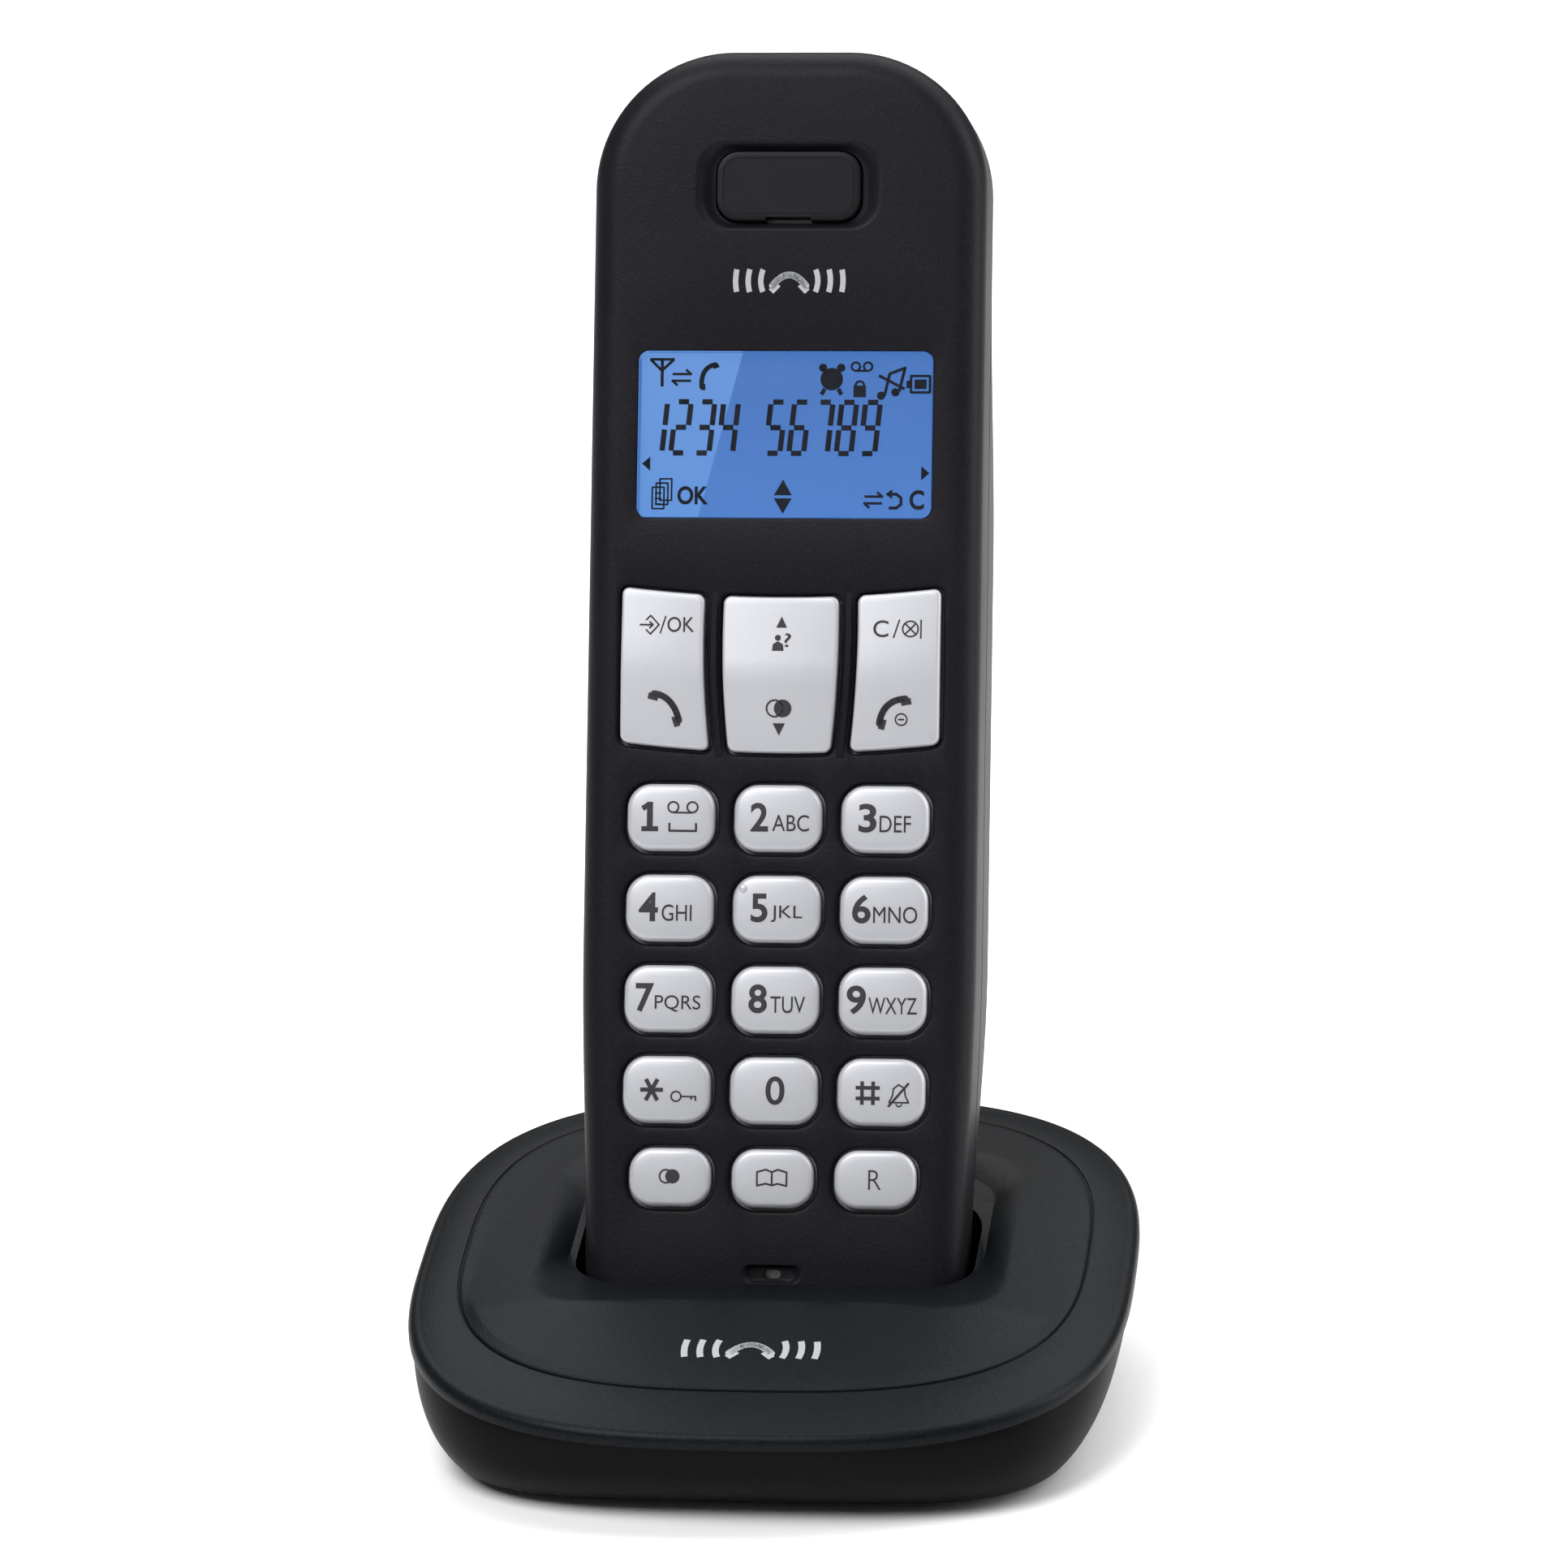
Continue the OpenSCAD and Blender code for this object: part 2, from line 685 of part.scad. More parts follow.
// The slot through the handset's foot that shows a charging pad
module charge_window(side) {
    translate([side * contact_x - pad_w / 2 - fit_gap, contact_y - 1.6 - fit_gap, -1])
        cube([pad_w + 2 * fit_gap, pad_d + 2 * fit_gap, hand_wall + 2]);
}

module charge_pad(side) color(gold) in_handset()
    translate([side * contact_x - pad_w / 2, contact_y - 1.6, 0])
        cube([pad_w, pad_d, hand_wall + 0.4]);

module charge_pad_left() charge_pad(-1);
module charge_pad_right() charge_pad(1);

module handset_back_shell() color(shell_black) in_handset() difference() {
    union() {
        hollow_form(hand_seam + tiny / 2, hand_t + 1);
        intersection() {
            handset_form(-hand_wall / 2);
            union() {
                translate([-door_w / 2 - 2, door_y - 2 - hand_wall, 5])
                    cube([door_w + 4, 1.8 + hand_wall, door_end - 2]);
                translate([-tray_half, tray_y - tray_wall, tray_z0 - tray_wall])
                    cube([2 * tray_half, far, tray_l + 2 * tray_wall]);
                for (side = [-1, 1], s = hand_screws)
                    face_pin(2.2, hand_seam + tiny / 2, hand_t, side * s[0], s[1]);
            }
        }
    }
    translate([-door_w / 2 - fit_gap, door_y - 0.2, -1])
        cube([door_w + 2 * fit_gap, far, door_end + fit_gap + 1]);
    translate([-tray_half + tray_wall, tray_y, tray_z0])
        cube([2 * (tray_half - tray_wall), far, tray_l]);
    for (side = [-1, 1], s = hand_screws) {
        face_pin(hand_screw_r + fit_gap, hand_seam - 1, hand_t + 1, side * s[0], s[1]);
        face_pin(1.5 + fit_gap, s[2], hand_t + 1, side * s[0], s[1]);
    }
    for (side = [-1, 1]) charge_window(side);
    ringer_slots();
}

// Sound slots over the ringer
module ringer_slots() {
    for (i = [-2:2]) translate([-5 + abs(i), head_t - 2, ringer_z + i * 2.4])
        cube([10 - 2 * abs(i), 10, 1]);
}

module handset_screws() color(metal) in_handset()
    for (side = [-1, 1], s = hand_screws) difference() {
        union() {
            face_pin(hand_screw_r, hand_wall + 1.4, s[2] + 0.4, side * s[0], s[1]);
            face_pin(1.5, s[2] + tiny, s[2] + 1.2, side * s[0], s[1]);
        }
        for (turn = [0, 90]) translate([side * s[0], s[2] + 1, s[1]]) rotate([0, turn, 0])
            cube([1.7, 1.2, 0.35], center = true);
    }

module battery_door() color(shell_black) in_handset() {
    difference() {
        intersection() {
            handset_form();
            translate([-door_w / 2, door_y, door_foot])
                cube([door_w, far, door_end - door_foot]);
        }
        for (i = [0:4]) translate([-7, hand_t - 0.5, door_end - 9 - i * 2.2])
            cube([14, 2, 1]);
    }
}

module battery_cell(side) color([0.2, 0.45, 0.35]) in_handset()
    translate([side * cell_x, cell_y, cell_z]) {
        cylinder(r = cell_d / 2, h = cell_l - 1.2);
        cylinder(r = 1.9, h = cell_l);
    }

module battery_cell_left() battery_cell(-1);
module battery_cell_right() battery_cell(1);

module battery_contacts() color(metal) in_handset()
    for (side = [-1, 1], z = [tray_z0 + tiny, tray_z0 + tray_l - 0.5 - tiny])
        translate([side * cell_x - 3.5, cell_y - 3.5, z]) cube([7, 7, 0.5]);

// ---- Handset inner parts --------------------------------------------------------------

module earpiece_cap() color(shell_black) in_handset() difference() {
    face_plate(0.15, ear_deep + 2, z = ear_z) rounded_rect(ear_w, ear_h, 2.6);
    translate([-2.7, -1, ear_z - ear_h / 2 - 0.2]) cube([5.4, 5, 0.65]);
}

module receiver_capsule() color(metal) in_handset()
    face_pin(7, ear_deep + 2.2, ear_deep + 6, z = ear_z);

module microphone_capsule() color(metal) in_handset()
    face_pin(2, hand_wall + 1.2, hand_wall + 3.4, z = mic_z + 1);

module ringer_speaker() color(soft_grey) in_handset()
    face_pin(7.5, board_back + 4, head_t - hand_wall - 1.4, z = ringer_z);

module display_lens() color([0.55, 0.68, 0.80, 0.6]) in_handset() {
    face_plate(0.2, hand_wall + tiny, z = window_z)
        rounded_rect(window_w - 0.2, window_h - 0.2, window_r);
    face_plate(hand_wall + tiny, hand_wall + 0.55, z = window_z)
        rounded_rect(window_w + 2.4, window_h + 2.4, window_r);
}

module lcd_glass() color([0.31, 0.53, 0.82]) in_handset()
    face_plate(hand_wall + 0.65, board_y - 1.5, z = window_z)
        square([window_w + 3, window_h + 3], center = true);

module backlight_panel() color("white") in_handset()
    face_plate(board_y - 1.45, board_y - tiny, z = window_z)
        square([window_w + 2, window_h + 2], center = true);

module handset_circuit_board() color(board_green) in_handset() difference() {
    face_plate(board_y, board_back, z = (board_z0 + board_z1) / 2)
        rounded_rect(board_w, board_z1 - board_z0, 2);
    for (side = [-1, 1], s = hand_screws)
        face_pin(2.3, board_y - 1, board_back + 1, side * s[0], s[1]);
}

module handset_rf_shield() color(metal) in_handset()
    face_plate(board_back, board_back + 2.4, z = window_z + 1) square([24, 18], center = true);

// A folded strip along the board's top edge
module handset_antenna() color(gold) in_handset() {
    translate([-12, board_back, board_z1 - 2.5]) cube([24, 0.6, 2]);
    translate([-12, board_back, board_z1 - 2.5]) cube([0.8, 2.6, 2]);
}

// Every switch under the keys: [x, z]
switches = concat(
    [for (row = [0:4], column = [-1:1]) [column_x(row, column), row_z[row]]],
    [for (column = [-1:1], end = [-1, 1]) [column * nav_column, nav_z + end * nav_plunger_z]]
);

module keypad_mat() color([0.55, 0.55, 0.57]) in_handset() difference() {
    mat_z0 = key_foot - low_key_h / 2 - 0.6;
    mat_z1 = nav_z + nav_h / 2 + 1;
    face_plate(mat_y, board_y, z = (mat_z0 + mat_z1) / 2)
        rounded_rect(board_w - 3, mat_z1 - mat_z0, 2);
    for (s = switches) face_pin(mat_hole_r, mat_y - 1, board_y + 1, s[0], s[1]);
}

module key_domes() color(metal) in_handset()
    for (s = switches) face_pin(dome_r, board_y - dome_h, board_y, s[0], s[1]);

// ---- Keys ---------------------------------------------------------------------------

function row_w(row) = row == 4 ? low_key_w : key_w;
function row_h(row) = row == 4 ? low_key_h : key_h;
function column_x(row, column) = column * (row == 4 ? key_pitch_x - (key_w - low_key_w) * 0.8
    : key_pitch_x);

// Two crossed cylinders, which crown a cap both ways
module crown(r) intersection() {
    translate([0, 0, -far / 2]) cylinder(r = r, h = far, $fn = 240);
    translate([-far / 2, 0, 0]) rotate([0, 90, 0]) cylinder(r = r, h = far, $fn = 240);
}

// A number key: crowned cap, flange behind the shell and plunger over its switch
module key(row, column) color(key_silver) in_handset() {
    w = row_w(row);
    h = row_h(row);
    crown_r = 40;
    translate([column_x(row, column), 0, row_z[row]]) {
        intersection() {
            face_plate(-key_proud, flange_y + tiny) rounded_rect(w, h, key_r);
            translate([0, crown_r - key_proud, 0]) crown(crown_r);
        }
        face_plate(flange_y, flange_back)
            rounded_rect(w + 2 * flange_lip, h + 2 * flange_lip, key_r);
        face_pin(plunger_r, flange_back - tiny, plunger_end);
    }
}

module key_1() key(0, -1);
module key_2() key(0, 0);
module key_3() key(0, 1);
module key_4() key(1, -1);
module key_5() key(1, 0);
module key_6() key(1, 1);
module key_7() key(2, -1);
module key_8() key(2, 0);
module key_9() key(2, 1);
module key_star() key(3, -1);
module key_0() key(3, 0);
module key_hash() key(3, 1);
module key_redial() key(4, -1);
module key_phonebook() key(4, 0);
module key_recall() key(4, 1);

// Inner and outer edges of a rocker, at height v from -1 at its foot to 1 at its top
function nav_inner(v) = nav_in + (nav_in_top - nav_in) * (v + 1) / 2 + 0.35 * (1 - v * v);
function rocker_left(column, v) = column == 0 ? -nav_inner(v)
    : column < 0 ? -nav_half : nav_inner(v) + nav_bar;
function rocker_right(column, v) = column == 0 ? nav_inner(v)
    : column > 0 ? nav_half : -nav_inner(v) - nav_bar;
function nav_lift(x) = nav_rise * pow(x / nav_half, 2);

// Face outline of a rocker, grown by grow
module rocker_outline(column, grow = 0) {
    steps = 6;
    ends = [for (i = [0:steps]) i / steps];
    points = concat(
        [for (u = ends) let (x = rocker_left(column, 1) - grow
            + u * (rocker_right(column, 1) - rocker_left(column, 1) + 2 * grow))
            [x, nav_h / 2 + nav_lift(x) + grow]],
        [for (u = ends) if (u > 0 && u < 1) let (v = 1 - 2 * u)
            [rocker_right(column, v) + grow, v * nav_h / 2 + nav_lift(rocker_right(column, v))]],
        [for (u = ends) let (x = rocker_right(column, -1) + grow
            - u * (rocker_right(column, -1) - rocker_left(column, -1) + 2 * grow))
            [x, -nav_h / 2 + nav_lift(x) - grow]],
        [for (u = ends) if (u > 0 && u < 1) let (v = -1 + 2 * u)
            [rocker_left(column, v) - grow, v * nav_h / 2 + nav_lift(rocker_left(column, v))]]
    );
    translate([0, nav_z]) polygon(points);
}

// A rocker key: ridged cap, flange, two plungers and the rib that it tilts on
module rocker(column) color(key_silver) in_handset() {
    pivot_r = 0.7;
    middle = column * nav_column;
    width = rocker_right(column, 0) - rocker_left(column, 0);
    intersection() {
        face_plate(-4, nav_flange_y + tiny) rocker_outline(column);
        translate([-far / 2, 0, nav_z]) rotate([90, 0, 90]) linear_extrude(far) polygon([
            [-key_proud + nav_ridge / 2, -nav_h], [-key_proud - nav_ridge / 2, 0],
            [-key_proud + nav_ridge / 2, nav_h], [10, nav_h], [10, -nav_h]
        ]);
    }
    face_plate(nav_flange_y, nav_flange_y + flange_t) rocker_outline(column, flange_lip);
    for (end = [-1, 1])
        face_pin(plunger_r, nav_flange_y + flange_t - tiny,
            board_y - dome_h - rocker_sweep - 0.15, middle, nav_z + end * nav_plunger_z);
    translate([middle - width / 2 + 1, mat_y - tiny - pivot_r, nav_z]) rotate([0, 90, 0])
        cylinder(r = pivot_r, h = width - 2);
}

module rocker_menu_talk() rocker(-1);
module rocker_navigation() rocker(0);
module rocker_clear_end() rocker(1);

base_bottom_shell();
base_top_cover();
rubber_feet();
base_screws();
base_circuit_board();
base_rf_shield();
base_antennas();
base_capacitors();
line_socket();
line_socket_contacts();
power_socket();
power_socket_pin();
page_button();
page_switch();
charge_contact_left();
charge_contact_right();
handset_front_shell();
handset_back_shell();
handset_screws();
battery_door();
battery_cell_left();
battery_cell_right();
battery_contacts();
charge_pad_left();
charge_pad_right();
earpiece_cap();
receiver_capsule();
microphone_capsule();
ringer_speaker();
display_lens();
lcd_glass();
backlight_panel();
handset_circuit_board();
handset_rf_shield();
handset_antenna();
keypad_mat();
key_domes();
rocker_menu_talk();
rocker_navigation();
rocker_clear_end();
key_1();
key_2();
key_3();
key_4();
key_5();
key_6();
key_7();
key_8();
key_9();
key_star();
key_0();
key_hash();
key_redial();
key_phonebook();
key_recall();
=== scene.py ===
# A cordless telephone standing in its desk cradle. Sizes are written in millimetres and
# become metres when a mesh is made. X runs across, Y from front to back, Z up.
import functools
import math

import bmesh
import bpy
from mathutils import Matrix, Vector


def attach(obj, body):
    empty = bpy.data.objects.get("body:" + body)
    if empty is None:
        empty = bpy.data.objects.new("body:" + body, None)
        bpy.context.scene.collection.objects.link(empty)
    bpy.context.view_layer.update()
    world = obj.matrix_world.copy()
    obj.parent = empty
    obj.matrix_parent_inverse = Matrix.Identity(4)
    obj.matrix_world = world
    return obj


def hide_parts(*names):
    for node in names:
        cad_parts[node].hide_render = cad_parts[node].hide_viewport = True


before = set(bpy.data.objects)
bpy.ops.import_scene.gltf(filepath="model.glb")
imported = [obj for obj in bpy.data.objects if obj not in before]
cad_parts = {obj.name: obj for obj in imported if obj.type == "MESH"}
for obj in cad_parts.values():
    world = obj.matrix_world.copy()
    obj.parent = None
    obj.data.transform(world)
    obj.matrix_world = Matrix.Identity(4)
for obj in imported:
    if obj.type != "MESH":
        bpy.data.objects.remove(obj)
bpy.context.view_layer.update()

# ---- Camera, table and light ----------------------------------------------------------
# A long lens a little above the telephone and to its right. The telephone stands on a
# plain pale table, under one large soft light from the upper left and a strip at the right.

MM = 0.001

camera_data = bpy.data.cameras.new("camera")
camera_data.lens = 181.47
camera_data.sensor_width = 36
camera_data.sensor_fit = "HORIZONTAL"
camera_data.clip_end = 20
camera = bpy.data.objects.new("camera", camera_data)
bpy.context.scene.collection.objects.link(camera)
camera.matrix_world = Matrix((
    (0.99372586, -0.00870633, 0.11150389, 0.10442),
    (0.10950702, 0.2784476, -0.95418821, -0.87540),
    (-0.02274051, 0.96041196, 0.27765398, 0.33083),
    (0, 0, 0, 1)))
bpy.context.scene.camera = camera

bpy.context.scene.view_settings.view_transform = "Standard"

world = bpy.data.worlds.new("studio")
world.use_nodes = True
world.node_tree.nodes["Background"].inputs["Color"].default_value = (1.0, 1.0, 1.0, 1)
world.node_tree.nodes["Background"].inputs["Strength"].default_value = 0.16
bpy.context.scene.world = world


def soft_light(name, place, aim, width, height, power):
    light = bpy.data.lights.new(name, "AREA")
    light.shape = "RECTANGLE"
    light.size, light.size_y, light.energy = width, height, power
    lamp = bpy.data.objects.new(name, light)
    bpy.context.scene.collection.objects.link(lamp)
    lamp.location = place
    lamp.rotation_euler = (Vector(aim) - Vector(place)).to_track_quat("-Z", "Y").to_euler()


soft_light("main_softbox", (-0.45, -0.70, 1.15), (0, 0, 0.06), 0.8, 0.8, 23)
soft_light("right_strip", (0.75, 0.10, 0.45), (0, 0, 0.08), 0.25, 0.8, 6)
soft_light("overhead", (0.1, 0.95, 1.7), (0, 0.3, 0), 2.4, 2.0, 46)

floor_material = bpy.data.materials.new("pale_table")
floor_material.use_nodes = True
floor_shader = floor_material.node_tree.nodes["Principled BSDF"]
floor_shader.inputs["Base Color"].default_value = (0.93, 0.93, 0.93, 1)
floor_shader.inputs["Roughness"].default_value = 0.5
floor_mesh = bpy.data.meshes.new("table")
floor_mesh.from_pydata([(-6, -3, 0), (6, -3, 0), (6, 9, 0), (-6, 9, 0)], [], [(0, 1, 2, 3)])
floor_mesh.materials.append(floor_material)
table = bpy.data.objects.new("table", floor_mesh)
bpy.context.scene.collection.objects.link(table)

# ---- Handset front shell --------------------------------------------------------------
# The front half of the handset: one moulding of warm black ABS with a fine matt grain. Its
# openings have soft lips, and it meets the back shell in a thin line round the sides.

# The handset is drawn upright, face towards -Y and foot at zero, and leans back in place.
lean = math.radians(19.8)
dock = Matrix.Translation((0, -8.5 * MM, 11.2196 * MM)) @ Matrix.Rotation(-lean, 4, "X")
hand_w, hand_l, foot_in = 46.8, 152.25, 0.9
head_r, foot_r = 16.5, 8.0
front_edge, back_edge, wall, seam = 3.6, 6.0, 1.8, 11.0


def link(name, mesh):
    piece = bpy.data.objects.new(name, mesh)
    bpy.context.scene.collection.objects.link(piece)
    return piece


def shade(bm, limit=32):
    """Smooth faces, with a hard line wherever two faces meet at more than limit degrees"""
    for face in bm.faces:
        face.smooth = True
    for edge in bm.edges:
        flat = [face.tag for face in edge.link_faces]
        hard = len(flat) == 2 and edge.calc_face_angle(0) > math.radians(limit)
        edge.smooth = not (hard or (len(flat) == 2 and flat[0] != flat[1]))


def finish_mesh(name, bm, material, place=None, outward=True, limit=32):
    """A piece from a mesh in millimetres, with its place in its points"""
    bmesh.ops.remove_doubles(bm, verts=bm.verts, dist=0.0004)
    if outward:
        bmesh.ops.recalc_face_normals(bm, faces=bm.faces)
    shade(bm, limit)
    bm.transform(Matrix.Scale(MM, 4))
    if place is not None:
        bm.transform(place)
    mesh = bpy.data.meshes.new(name)
    bm.to_mesh(mesh)
    bm.free()
    mesh.materials.append(material)
    return link(name, mesh)


def add_rings(bm, rings, first_cap=False, last_cap=False):
    """Skins closed rings of equally many points; returns the rings' vertices"""
    made = [[bm.verts.new(point) for point in ring] for ring in rings]
    for lower, upper in zip(made, made[1:]):
        for i in range(len(lower)):
            j = (i + 1) % len(lower)
            bm.faces.new((lower[i], lower[j], upper[j], upper[i]))
    if first_cap:
        bm.faces.new(made[0])
    if last_cap:
        bm.faces.new(made[-1])
    return made


def fill_between(bm, loops):
    """Triangles over the flat area inside the first loop and outside the others"""
    edges = []
    for loop in loops:
        for i, corner in enumerate(loop):
            after = loop[(i + 1) % len(loop)]
            edges.append(bm.edges.get((corner, after)) or bm.edges.new((corner, after)))
    made = bmesh.ops.triangle_fill(bm, use_beauty=True, use_dissolve=False, edges=edges)
    for item in made["geom"]:
        if isinstance(item, bmesh.types.BMFace):
            item.tag = True


def arc(x, z, r, start, end, steps):
    """Points on a circle, from start to end in degrees"""
    return [(x + r * math.cos(math.radians(start + (end - start) * i / steps)),
             z + r * math.sin(math.radians(start + (end - start) * i / steps)))
            for i in range(steps + 1)]


def line(a, b, steps):
    """Points between a and b, without the ends"""
    return [(a[0] + (b[0] - a[0]) * i / steps, a[1] + (b[1] - a[1]) * i / steps)
            for i in range(1, steps)]


def ease(t):
    t = min(max(t, 0.0), 1.0)
    return t * t * (3 - 2 * t)


def half_at(z):
    """Half the handset's width; the sides draw in a little towards the foot"""
    return hand_w / 2 - foot_in * (1 - ease((z - foot_r) / 37))


def body_outline(inset):
    """The handset's outline seen from the front, from the middle of its foot, drawn in"""
    top, head_z = hand_l - inset, hand_l - head_r
    foot_x, head_x = hand_w / 2 - foot_in - foot_r, hand_w / 2 - head_r
    right = [(0, inset)] + line((0, inset), (foot_x, inset), 5)
    right += arc(foot_x, foot_r, foot_r - inset, -90, 0, 14)
    right += [(half_at(z) - inset, z) for _, z in line((0, foot_r), (0, head_z), 44)]
    right += arc(head_x, head_z, head_r - inset, 0, 90, 22)
    right += line((head_x, top), (0, top), 3)
    return right + [(0, top)] + [(-x, z) for x, z in reversed(right[1:])]


def rounded(w, h, r, x=0.0, z=0.0, corner=8, side=4):
    """A rounded rectangle, from the middle of its lower side"""
    a, b = w / 2 - r, h / 2 - r
    right = [(0, -h / 2)] + line((0, -h / 2), (a, -h / 2), side)
    right += arc(a, -b, r, -90, 0, corner) + line((w / 2, -b), (w / 2, b), 2 * side)
    right += arc(a, b, r, 0, 90, corner) + line((a, h / 2), (0, h / 2), side)
    loop = right + [(0, h / 2)] + [(-p, q) for p, q in reversed(right[1:])]
    return [(p + x, q + z) for p, q in loop]


def at_depth(outline, y):
    return [(x, y, z) for x, z in outline]


def quarter(steps):
    return [math.radians(90 * i / steps) for i in range(steps + 1)]


def add_maths(tree, operation, *values):
    """A maths node in a tree, from numbers and sockets; returns its result"""
    node = tree.nodes.new("ShaderNodeMath")
    node.operation = operation
    for socket, value in zip(node.inputs, values):
        if isinstance(value, (int, float)):
            socket.default_value = value
        else:
            tree.links.new(value, socket)
    return node.outputs[0]


def grain_group():
    """Moulded plastic: a fine grain with faint mottling, on the piece's own coordinates"""
    group = bpy.data.node_groups.new("moulded_grain", "ShaderNodeTree")
    face = group.interface
    face.new_socket("Colour", in_out="INPUT", socket_type="NodeSocketColor")
    for name, value in (("Grain Size", 0.35), ("Mottle", 0.15), ("Roughness", 0.5),
                        ("Roughness Spread", 0.08), ("Speck", 0.0)):
        socket = face.new_socket(name, in_out="INPUT", socket_type="NodeSocketFloat")
        socket.default_value = value
    face.new_socket("Colour", in_out="OUTPUT", socket_type="NodeSocketColor")
    face.new_socket("Roughness", in_out="OUTPUT", socket_type="NodeSocketFloat")
    face.new_socket("Height", in_out="OUTPUT", socket_type="NodeSocketFloat")
    nodes, links = group.nodes, group.links
    given, given_out = nodes.new("NodeGroupInput"), nodes.new("NodeGroupOutput")
    maths = functools.partial(add_maths, group)

    where = nodes.new("ShaderNodeTexCoord").outputs["Object"]
    per_metre = maths("DIVIDE", 1000.0, given.outputs["Grain Size"])
    fine = nodes.new("ShaderNodeTexNoise")
    fine.inputs["Detail"].default_value = 3
    links.new(where, fine.inputs["Vector"])
    links.new(per_metre, fine.inputs["Scale"])
    cells = nodes.new("ShaderNodeTexVoronoi")
    links.new(where, cells.inputs["Vector"])
    links.new(maths("MULTIPLY", per_metre, 0.8), cells.inputs["Scale"])
    broad = nodes.new("ShaderNodeTexNoise")
    broad.inputs["Scale"].default_value = 70
    broad.inputs["Detail"].default_value = 4
    links.new(where, broad.inputs["Vector"])

    height = maths("ADD", maths("MULTIPLY", fine.outputs["Fac"], 0.6),
                   maths("MULTIPLY", cells.outputs["Distance"], 0.4))
    speck = maths("MULTIPLY", maths("POWER", fine.outputs["Fac"], 7.0), 14.0)
    shift = maths("ADD", maths("MULTIPLY", maths("SUBTRACT", broad.outputs["Fac"], 0.5),
                               given.outputs["Mottle"]),
                  maths("MULTIPLY", maths("SUBTRACT", fine.outputs["Fac"], 0.5),
                        given.outputs["Mottle"]))
    bright = maths("ADD", maths("ADD", 1.0, shift),
                   maths("MULTIPLY", speck, given.outputs["Speck"]))
    colour = nodes.new("ShaderNodeVectorMath")
    colour.operation = "SCALE"
    links.new(given.outputs["Colour"], colour.inputs[0])
    links.new(bright, colour.inputs["Scale"])
    rough = maths("ADD", given.outputs["Roughness"],
                  maths("MULTIPLY", maths("SUBTRACT", broad.outputs["Fac"], 0.5),
                        given.outputs["Roughness Spread"]))
    links.new(colour.outputs[0], given_out.inputs["Colour"])
    links.new(rough, given_out.inputs["Roughness"])
    links.new(height, given_out.inputs["Height"])
    return group


moulded_grain = grain_group()


def moulded(name, colour, grain=0.35, depth=0.02, rough=0.5, mottle=0.15, spread=0.08,
            speck=0.0, metallic=0.0, shine=0.5):
    """A finish with the moulded grain; grain and depth in millimetres"""
    material = bpy.data.materials.new(name)
    material.use_nodes = True
    nodes, links = material.node_tree.nodes, material.node_tree.links
    shader = nodes["Principled BSDF"]
    shader.inputs["Metallic"].default_value = metallic
    shader.inputs["Specular IOR Level"].default_value = shine
    grainy = nodes.new("ShaderNodeGroup")
    grainy.node_tree = moulded_grain
    grainy.inputs["Colour"].default_value = (*colour, 1)
    for socket, value in (("Grain Size", grain), ("Mottle", mottle), ("Roughness", rough),
                          ("Roughness Spread", spread), ("Speck", speck)):
        grainy.inputs[socket].default_value = value
    bump = nodes.new("ShaderNodeBump")
    bump.inputs["Distance"].default_value = depth * MM
    links.new(grainy.outputs["Colour"], shader.inputs["Base Color"])
    links.new(grainy.outputs["Roughness"], shader.inputs["Roughness"])
    links.new(grainy.outputs["Height"], bump.inputs["Height"])
    links.new(bump.outputs["Normal"], shader.inputs["Normal"])
    return material


handset_black = moulded("handset_black", (0.0062, 0.0055, 0.0076), grain=0.26, depth=0.03,
                        rough=0.45, mottle=0.3, speck=0.6, shine=0.085)

# Keys: columns at 12.7, rows up from the foot
key_rows = [60.7, 50.0, 39.3, 28.6, 18.3]
key_w, key_h, key_r = 10.4, 7.9, 2.85
low_w, low_h = 9.7, 6.9
key_gap = 0.35


def key_size(row):
    return (low_w, low_h) if row == 4 else (key_w, key_h)


def key_place(row, column):
    return column * (12.14 if row == 4 else 12.7), key_rows[row]


nav_z, nav_h, nav_half = 77.65, 18.4, 18.9
nav_in, nav_in_top, nav_bar = 6.05, 6.8, 2.3
nav_bow = 1.15                   # how far the rocker keys' ends bow up at the sides
window_z, window_w, window_h = 106.25, 35.2, 20.0
ear_z, ear_w, ear_h = 135.85, 17.2, 8.3


def nav_inner(v):
    return nav_in + (nav_in_top - nav_in) * (v + 1) / 2 + 0.35 * (1 - v * v)


def rocker_outline(column, inset, r):
    """Face outline of a rocker key, drawn in by inset; both ends of its sides lean a little"""
    def left(v):
        edge = -nav_inner(v) if column == 0 else (-nav_half if column < 0
                                                  else nav_inner(v) + nav_bar)
        return edge + inset

    def right(v):
        edge = nav_inner(v) if column == 0 else (nav_half if column > 0
                                                 else -nav_inner(v) - nav_bar)
        return edge - inset

    w, h = right(0) - left(0), nav_h - 2 * inset
    loop = []
    for x, z in rounded(w, h, r, corner=6, side=5):
        v = z / (nav_h / 2)
        across = left(v) + (x / w + 0.5) * (right(v) - left(v))
        loop.append((across, nav_z + z + nav_bow * (across / nav_half) ** 2))
    return loop


def lipped_hole(bm, outline_at, lip, back):
    """An opening with a rounded lip; outline_at(grow) gives its outline grown by grow"""
    rings = [at_depth(outline_at(lip * (1 - math.sin(a))), lip * (1 - math.cos(a)))
             for a in quarter(4)]
    rings.append(at_depth(outline_at(0), back))
    made = add_rings(bm, rings)
    return made[0], made[-1]


